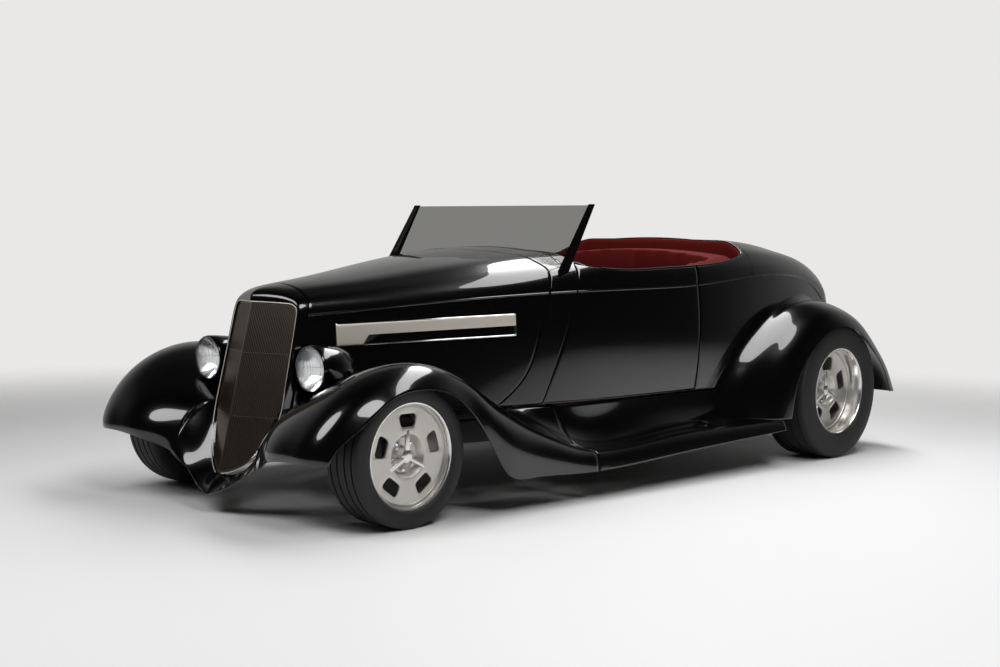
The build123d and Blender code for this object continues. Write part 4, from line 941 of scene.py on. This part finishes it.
# %% Tyres


def tyre(end, hand, side, axle_x, radius, wheel_y, width, rim):
    """A tyre with a rounded shoulder and grooves round its tread."""
    half = width / 2
    groove = 7.0
    right = [(rim, 0.78 * half), (rim + 6, 0.9 * half), (rim + 14, 0.965 * half)]
    right += [(rim + 0.45 * (radius - rim), half), (radius - 24, 0.985 * half), (radius - 10, 0.93 * half)]
    right += [(radius - 3.5, 0.86 * half)]
    tread = []
    for k in (0.62, 0.22):
        tread += [(radius - 1, (k + 0.05) * half), (radius - groove, (k + 0.04) * half)]
        tread += [(radius - groove, (k - 0.04) * half), (radius - 1, (k - 0.05) * half)]
    outer = right + tread
    profile = outer + [(r, -a) for r, a in reversed(outer)]
    node = f"{end}_tyre_{hand}"
    made = spun(f"{node}_tread", profile, (axle_x, side * wheel_y, radius), (0, side, 0), steps=128)
    return finish(made, rubber, f"{end}_wheel_{hand}", "tyre", node)


TYRES = [
    ("front", FRONT_AXLE_X, FRONT_TYRE_R, FRONT_WHEEL_Y, 196, 206),
    ("rear", REAR_AXLE_X, REAR_TYRE_R, REAR_WHEEL_Y, 262, 218),
]
for end, *sizes in TYRES:
    for hand, side in (("left", 1), ("right", -1)):
        tyre(end, hand, side, *sizes)
print("tyres made")

# %% [markdown]
# Each wheel is a polished lip, a dished disc with five windows, lug nuts in its bowl and a knock-off spinner.
# The windows are cut with bevelled blocks, so that their corners are round as in a casting.

# %% Wheels
BOWL_R = 86.0
SPOKES = 5


def block(name, size, bevel, segments=4):
    """A box with rounded edges, lying at the origin."""
    bpy.ops.mesh.primitive_cube_add(size=1)
    obj = bpy.context.object
    obj.name = obj.data.name = name
    obj.data.transform(Matrix.Diagonal((*[v * MM for v in size], 1)))
    modify(obj, "BEVEL", width=bevel * MM, segments=segments, limit_method="ANGLE", angle_limit=radians(40))
    return obj


def taper(obj, amount):
    """Narrows a piece along +X, across Y, by a share of its width."""
    xs = [v.co.x for v in obj.data.vertices]
    low, span = min(xs), max(xs) - min(xs)
    for v in obj.data.vertices:
        v.co.y *= 1 - amount * (v.co.x - low) / span
    return obj


def ringed(name, make, count, radius, along, start=0.0):
    """Copies of a piece set round the Y axis: its X points outward from the axis and its Z along it."""
    copies = []
    for k in range(count):
        obj = make(f"{name}_{k}")
        a = start + 2 * pi * k / count
        out = Vector((cos(a), 0, sin(a)))
        turn = Matrix((out, Vector((0, 1, 0)).cross(out), Vector((0, 1, 0)))).transposed().to_4x4()
        obj.data.transform(Matrix.Translation((out * radius + Vector((0, along, 0))) * MM) @ turn)
        copies.append(obj)
    return join(name, copies)


def wheel(end, hand, side, place, rim, flange, disc, bowl, window):
    """A wheel made about the origin and then set in place."""
    name, centre, axis = f"{end}_{hand}", (0, 0, 0), (0, 1, 0)
    back = [(rim - 15, disc - 3), (rim - 15, 20 - flange), (rim - 8, 8 - flange), (rim - 1, 7 - flange)]
    back += [(rim, 2 - flange), (rim - 6, -flange), (rim - 14, 4 - flange)]
    back += [(rim - 19, 22 - flange), (rim - 19, disc - 3)]
    barrel = spun(f"{name}_barrel", back, centre, axis)
    edge = [(rim - 9, flange - 10), (rim - 0.5, flange - 9), (rim, flange - 4), (rim - 3, flange - 0.5)]
    edge += [(rim - 8, flange - 1.5), (rim - 12, flange - 7), (rim - 15, disc + 16), (rim - 16, disc + 6)]
    lip = spun(f"{name}_lip", edge, centre, axis)
    face = [(rim - 15, disc + 8), (rim - 19, disc + 2), (rim - 26, disc), (BOWL_R + 12, disc + 4)]
    face += [(BOWL_R + 4, disc + 3.5), (BOWL_R, disc - 2), (BOWL_R - 8, bowl + 8), (BOWL_R - 16, bowl + 1)]
    face += [(BOWL_R - 26, bowl), (30, bowl)]
    plate = spun(f"{name}_plate", face, centre, axis)
    modify(plate, "SOLIDIFY", thickness=9 * MM, offset=-1)
    inside, outside, width = window
    opening = lambda label: taper(block(label, (outside - inside, width, 70), 15, 5), -0.22)
    nut = lambda label: block(label, (17, 17, 22), 4)
    wing = lambda label: taper(block(label, (88, 24, 12), 4), 0.5)
    cutters = ringed(f"{name}_windows", opening, SPOKES, (inside + outside) / 2, disc, pi / 2)
    modify(plate, "BOOLEAN", object=cutters, operation="DIFFERENCE", solver="EXACT")
    bpy.data.objects.remove(cutters)
    modify(plate, "BEVEL", width=2 * MM, segments=2, limit_method="ANGLE", angle_limit=radians(60))
    smooth(plate)
    lugs = ringed(f"{name}_lugs", nut, SPOKES, 57, bowl + 9, pi / 2 + pi / SPOKES)
    cap = [(36, -2), (35, 26), (30, 33), (28, 41), (20, 46), (8, 47), (0.01, 47)]
    hub = spun(f"{name}_cap", [(r, bowl + a) for r, a in cap], centre, axis)
    arms = ringed(f"{name}_arms", wing, 3, 58, bowl + 38, pi / 2)
    x, z, y = place
    settle = Matrix.Translation((x * MM, side * y * MM, z * MM)) @ Matrix.Diagonal((1, side, 1, 1))
    made = []
    bright = ((lip, polished_alloy), (hub, polished_alloy), (arms, polished_alloy), (lugs, chrome))
    for obj, surface in ((barrel, alloy), (plate, alloy), *bright):
        obj.data.transform(settle)
        tidy(obj, merge=0.00001)
        smooth(obj)
        coat(obj, surface)
        made.append(obj)
    node = f"{end}_wheel_{hand}"
    return finish(join(f"{node}_cast", made), None, node, "satin_alloy", node)


at_front = (FRONT_AXLE_X, FRONT_TYRE_R, FRONT_WHEEL_Y)
at_rear = (REAR_AXLE_X, REAR_TYRE_R, REAR_WHEEL_Y)
for hand, side in (("left", 1), ("right", -1)):
    wheel("front", hand, side, at_front, 212, 88, 52, 22, (112, 164, 74))
    wheel("rear", hand, side, at_rear, 224, 120, 30, 0, (104, 170, 84))
print("wheels made")

# %% [markdown]
# The seat is one cushion and a back that wraps round to the doors, in plain red leather.
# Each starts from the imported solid, remeshed and drawn in a little, and is blown up with cloth pressure.
# Leather on a thin board lines the body behind the doors, and the painted rim is rolled so no raw edge shows.

# %% Seat and cockpit rim
PAD_VOXEL, PAD_INSET, PAD_SWELL = 10.0, 4.0, 14.0
PAD_PRESSURE, PAD_FRAMES = 4.0, 20
RIM_ROLL_R = 7.0


def pad(name, node):
    """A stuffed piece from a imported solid: remeshed, drawn in, swollen as cloth and held near its start."""
    obj = bpy.data.objects.new(name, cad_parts[node].data.copy())
    obj.data.name = name
    bpy.context.collection.objects.link(obj)
    tidy(obj, merge=0.0005)
    modify(obj, "REMESH", mode="VOXEL", voxel_size=PAD_VOXEL * MM)
    modify(obj, "SMOOTH", factor=0.5, iterations=4)
    modify(obj, "DISPLACE", strength=-PAD_INSET * MM, mid_level=0.0)
    start = np.array([v.co for v in obj.data.vertices])
    only(obj)
    cloth = obj.modifiers.new("Cloth", "CLOTH")
    cloth.settings.use_pressure = True
    cloth.settings.uniform_pressure_force = PAD_PRESSURE
    cloth.settings.effector_weights.gravity = 0.0
    for step in range(1, PAD_FRAMES + 1):
        bpy.context.scene.frame_set(step)
    bpy.ops.object.modifier_apply(modifier=cloth.name)
    bpy.context.scene.frame_set(1)
    moved = np.array([v.co for v in obj.data.vertices]) - start
    length = np.maximum(np.linalg.norm(moved, axis=1, keepdims=True), 1e-9)
    held = start + moved * np.minimum(1.0, PAD_SWELL * MM / length)
    obj.data.vertices.foreach_set("co", held.reshape(-1))
    obj.data.update()
    modify(obj, "SMOOTH", factor=0.5, iterations=4)
    smooth(obj, 60)
    finish(obj, leather, "chassis", "red_leather", node)
    return obj


for name, node in (("seat_cushion_pad", "seat_cushion"), ("seat_back_pad", "seat_back")):
    print(name, len(pad(name, node).data.vertices), "points")

# The same leather lines the body behind the doors, close under the painted rim
rim_x = places((DOOR_REAR_X - 8, 24), (rear(538), 20), (rear(490), 60), (COCKPIT_END_X + 1, 0))
rim = even(skin(rim_x, rim_t(rim_x)), 60)
rim = np.concatenate([rim, rim[::-1] * (1, -1, 1)])
inward = (rear(900), 0, 0) - rim
inward[:, 2] = 0
inward /= np.linalg.norm(inward, axis=1, keepdims=True)
folds = ((3, 11), (10, 17), (30, 21), (80, 23), (150, 23))  # below the rim, inside the rim
lining = sheet("cockpit_lining", np.array([rim + inset * inward - (0, 0, drop) for drop, inset in folds]))
thicken(lining, 8, edge=2.0)
finish(lining, leather, "chassis", "red_leather")

# The painted rim above it is rolled over a wire, along the body and along the top of each door
roll = strip("rim_roll", rim + 3 * inward - (0, 0, 4), -inward, RIM_ROLL_R, around=12, full=True)
finish(roll, paint, "chassis", "gloss_black")
door_x = np.linspace(front(-1300), DOOR_REAR_X + 8, 50)
door_rim = skin(door_x, rim_t(door_x)) - (0, 3, 4)
outward = np.tile((0.0, 1.0, 0.0), (len(door_x), 1))
door_roll = strip("door_roll_left", door_rim, outward, RIM_ROLL_R, around=12, full=True)
finish_both(door_roll, paint, "door_left", "gloss_black")
print("cockpit lined, rim rolled")

# %% [markdown]
# A headlamp is a spun bullet with a painted rim, a reflector bowl and a domed glass.
# The glass is thin and clear, with flutes, so the bowl behind it gives the lamp its bright eye.

# %% Headlamps
LAMP_X, LAMP_Y, LAMP_Z = front(148), 352.0, 596.0
LAMP_R, LENS_R, LAMP_LENGTH = 95.0, 88.0, 205.0


def lamp(hand, side):
    """One headlamp as bucket, rim, bowl and glass."""
    centre, ahead = (LAMP_X, side * LAMP_Y, LAMP_Z), (1, 0, 0)
    bullet = [(LAMP_R - 3, 2), (LAMP_R, -6), (LAMP_R - 1, -40)]
    for k in range(1, 13):
        a = k / 12 * pi / 2
        bullet.append((max((LAMP_R - 2) * cos(a) ** 0.8, 0.01), -40 - (LAMP_LENGTH - 40) * sin(a)))
    bucket = spun(f"headlamp_bucket_{hand}", bullet, centre, ahead)
    rim_ring = [(LENS_R - 1, 3), (LENS_R, 8), (LENS_R + 3, 9)]
    rim_ring += [(LAMP_R - 1, 5), (LAMP_R, -1), (LAMP_R - 2, -3)]
    rim = spun(f"headlamp_rim_{hand}", rim_ring, centre, ahead)
    bowl_line = [(LENS_R * k / 10, -62 + 58 * (k / 10) ** 2) for k in range(11)]
    bowl_line[0] = (0.01, -62)
    bowl = spun(f"headlamp_bowl_{hand}", bowl_line, centre, ahead)
    glass_line = [(LENS_R * k / 10 if k else 0.01, 22 - 15 * (k / 10) ** 2) for k in range(11)]
    glass = spun(f"headlamp_glass_{hand}", glass_line, centre, ahead)
    modify(glass, "SOLIDIFY", thickness=3 * MM, offset=-1)
    smooth(glass)
    return bucket, rim, bowl, glass


lamps = [lamp("left", 1), lamp("right", -1)]
for group, (name, surface, slot_name, *nodes) in zip(
    zip(*lamps),
    (
        ("headlamp_bullets", paint, "gloss_black", "headlamp_buckets"),
        ("headlamp_rims", paint, "gloss_black"),
        ("headlamp_bowls", chrome, "satin_nickel"),
        ("headlamp_glasses", lens_glass, "clear_glass", "headlamp_lenses"),
    ),
):
    finish(join(name, list(group)), surface, "chassis", slot_name, *nodes)
print("lamps made")

# %% [markdown]
# The studio is a pale floor that fades into a pale background, with large soft lamps over the car.
# Black gloss shows only what it mirrors, so the lamps and the wall behind the car draw the shape,
# and the room is kept dim on the camera's side.

# %% Studio, lights and camera
CAMERA_HEADING = radians(-135.36)
BEHIND_CAR = (cos(CAMERA_HEADING), sin(CAMERA_HEADING), 0.0)
BACKDROP = linear("e9e8e7")


def faded(tree, value, start, end, low=0.0, high=1.0):
    """A smooth change from low to high while a value goes from start to end."""
    ends = {"From Min": start, "From Max": end, "To Min": low, "To Max": high}
    kind = "ShaderNodeMapRange"
    return add_node(tree, kind, ends, {"Value": value}, interpolation_type="SMOOTHSTEP").outputs[0]


def maths(tree, operation, a, b):
    """One sum of two values."""
    return add_node(tree, "ShaderNodeMath", links={0: a, 1: b}, operation=operation).outputs[0]


bpy.ops.mesh.primitive_circle_add(vertices=96, radius=12, fill_type="NGON")
floor = bpy.context.object
floor.name = "studio_floor"
floor_white = material("pale studio floor", "eeeeee", 0.5, **{"Specular IOR Level": 0.25})
tree = floor_white.node_tree
spot = add_node(tree, "ShaderNodeTexCoord")
shift = {1: [2.2 * v for v in BEHIND_CAR]}
nearer = add_node(tree, "ShaderNodeVectorMath", shift, {0: spot.outputs["Object"]}, operation="ADD")
reach = add_node(tree, "ShaderNodeVectorMath", operation="LENGTH", links={0: nearer.outputs[0]})
fade = faded(tree, reach.outputs["Value"], 4.4, 8.4)
clear = add_node(tree, "ShaderNodeBsdfTransparent")
mixed = add_node(
    tree,
    "ShaderNodeMixShader",
    links={0: fade, 1: tree.nodes["Principled BSDF"].outputs[0], 2: clear.outputs[0]},
)
tree.links.new(mixed.outputs[0], tree.nodes["Material Output"].inputs["Surface"])
floor.data.materials.append(floor_white)

world = bpy.data.worlds.new("pale studio")
bpy.context.scene.world = world
world.use_nodes = True
tree = world.node_tree
toward = add_node(tree, "ShaderNodeTexCoord")
facing = add_node(
    tree,
    "ShaderNodeVectorMath",
    operation="DOT_PRODUCT",
    inputs={1: BEHIND_CAR},
    links={0: toward.outputs["Generated"]},
)
wall = faded(tree, facing.outputs["Value"], 0.1, 0.6, 0.02, 0.4)
height = add_node(tree, "ShaderNodeSeparateXYZ", links={0: toward.outputs["Generated"]})
below_ceiling = faded(tree, height.outputs["Z"], 0.35, 0.75, 1.0, 0.12)
ray = add_node(tree, "ShaderNodeLightPath")
seen = maths(tree, "MAXIMUM", maths(tree, "MULTIPLY", wall, below_ceiling), ray.outputs["Is Camera Ray"])
through = maths(tree, "MAXIMUM", seen, ray.outputs["Is Transmission Ray"])
backdrop = tree.nodes["Background"]
backdrop.inputs["Color"].default_value = BACKDROP
tree.links.new(through, backdrop.inputs["Strength"])


def softbox(name, place, aim, size, power):
    """A large soft lamp."""
    bpy.ops.object.light_add(type="AREA", location=place)
    lamp_object = bpy.context.object
    lamp_object.name = name
    lamp_object.data.shape = "ELLIPSE"
    lamp_object.data.size, lamp_object.data.size_y = size
    lamp_object.data.energy = power
    lamp_object.rotation_euler = (Vector(aim) - Vector(place)).to_track_quat("-Z", "Y").to_euler()
    return lamp_object


softbox("overhead_softbox", (-1.4, 0.5, 4.2), (-0.8, 0.2, 0), (7.0, 1.7), 212)
softbox("front_softbox", (5.0, -0.2, 4.2), (2.2, 0.8, 0), (2.6, 2.6), 122)
softbox("floor_softbox", (2.6, 4.6, 5.2), (2.2, 4.0, 0), (2.6, 2.6), 148)

CAMERA_AT = Vector((FRONT_AXLE_X + 3811.8, 5017.1, 1141.2)) * MM
CAMERA_DIP = radians(3.84)
CAMERA_ROLL = radians(0.65)
CAMERA_LENS = 53.78
view_dir = Vector(
    (cos(CAMERA_HEADING) * cos(CAMERA_DIP), sin(CAMERA_HEADING) * cos(CAMERA_DIP), -sin(CAMERA_DIP))
)
right_dir = view_dir.cross(Vector((0, 0, 1))).normalized()
up_dir = right_dir.cross(view_dir)
tilted_right = cos(CAMERA_ROLL) * right_dir + sin(CAMERA_ROLL) * up_dir
tilted_up = cos(CAMERA_ROLL) * up_dir - sin(CAMERA_ROLL) * right_dir
bpy.ops.object.camera_add(location=CAMERA_AT)
camera = bpy.context.object
camera.name = "studio_camera"
camera.rotation_euler = Matrix((tilted_right, tilted_up, -view_dir)).transposed().to_euler()
camera.data.lens = CAMERA_LENS
camera.data.sensor_width = 36.0
bpy.context.scene.camera = camera
bpy.context.scene.view_settings.view_transform = "Standard"
print("studio ready")
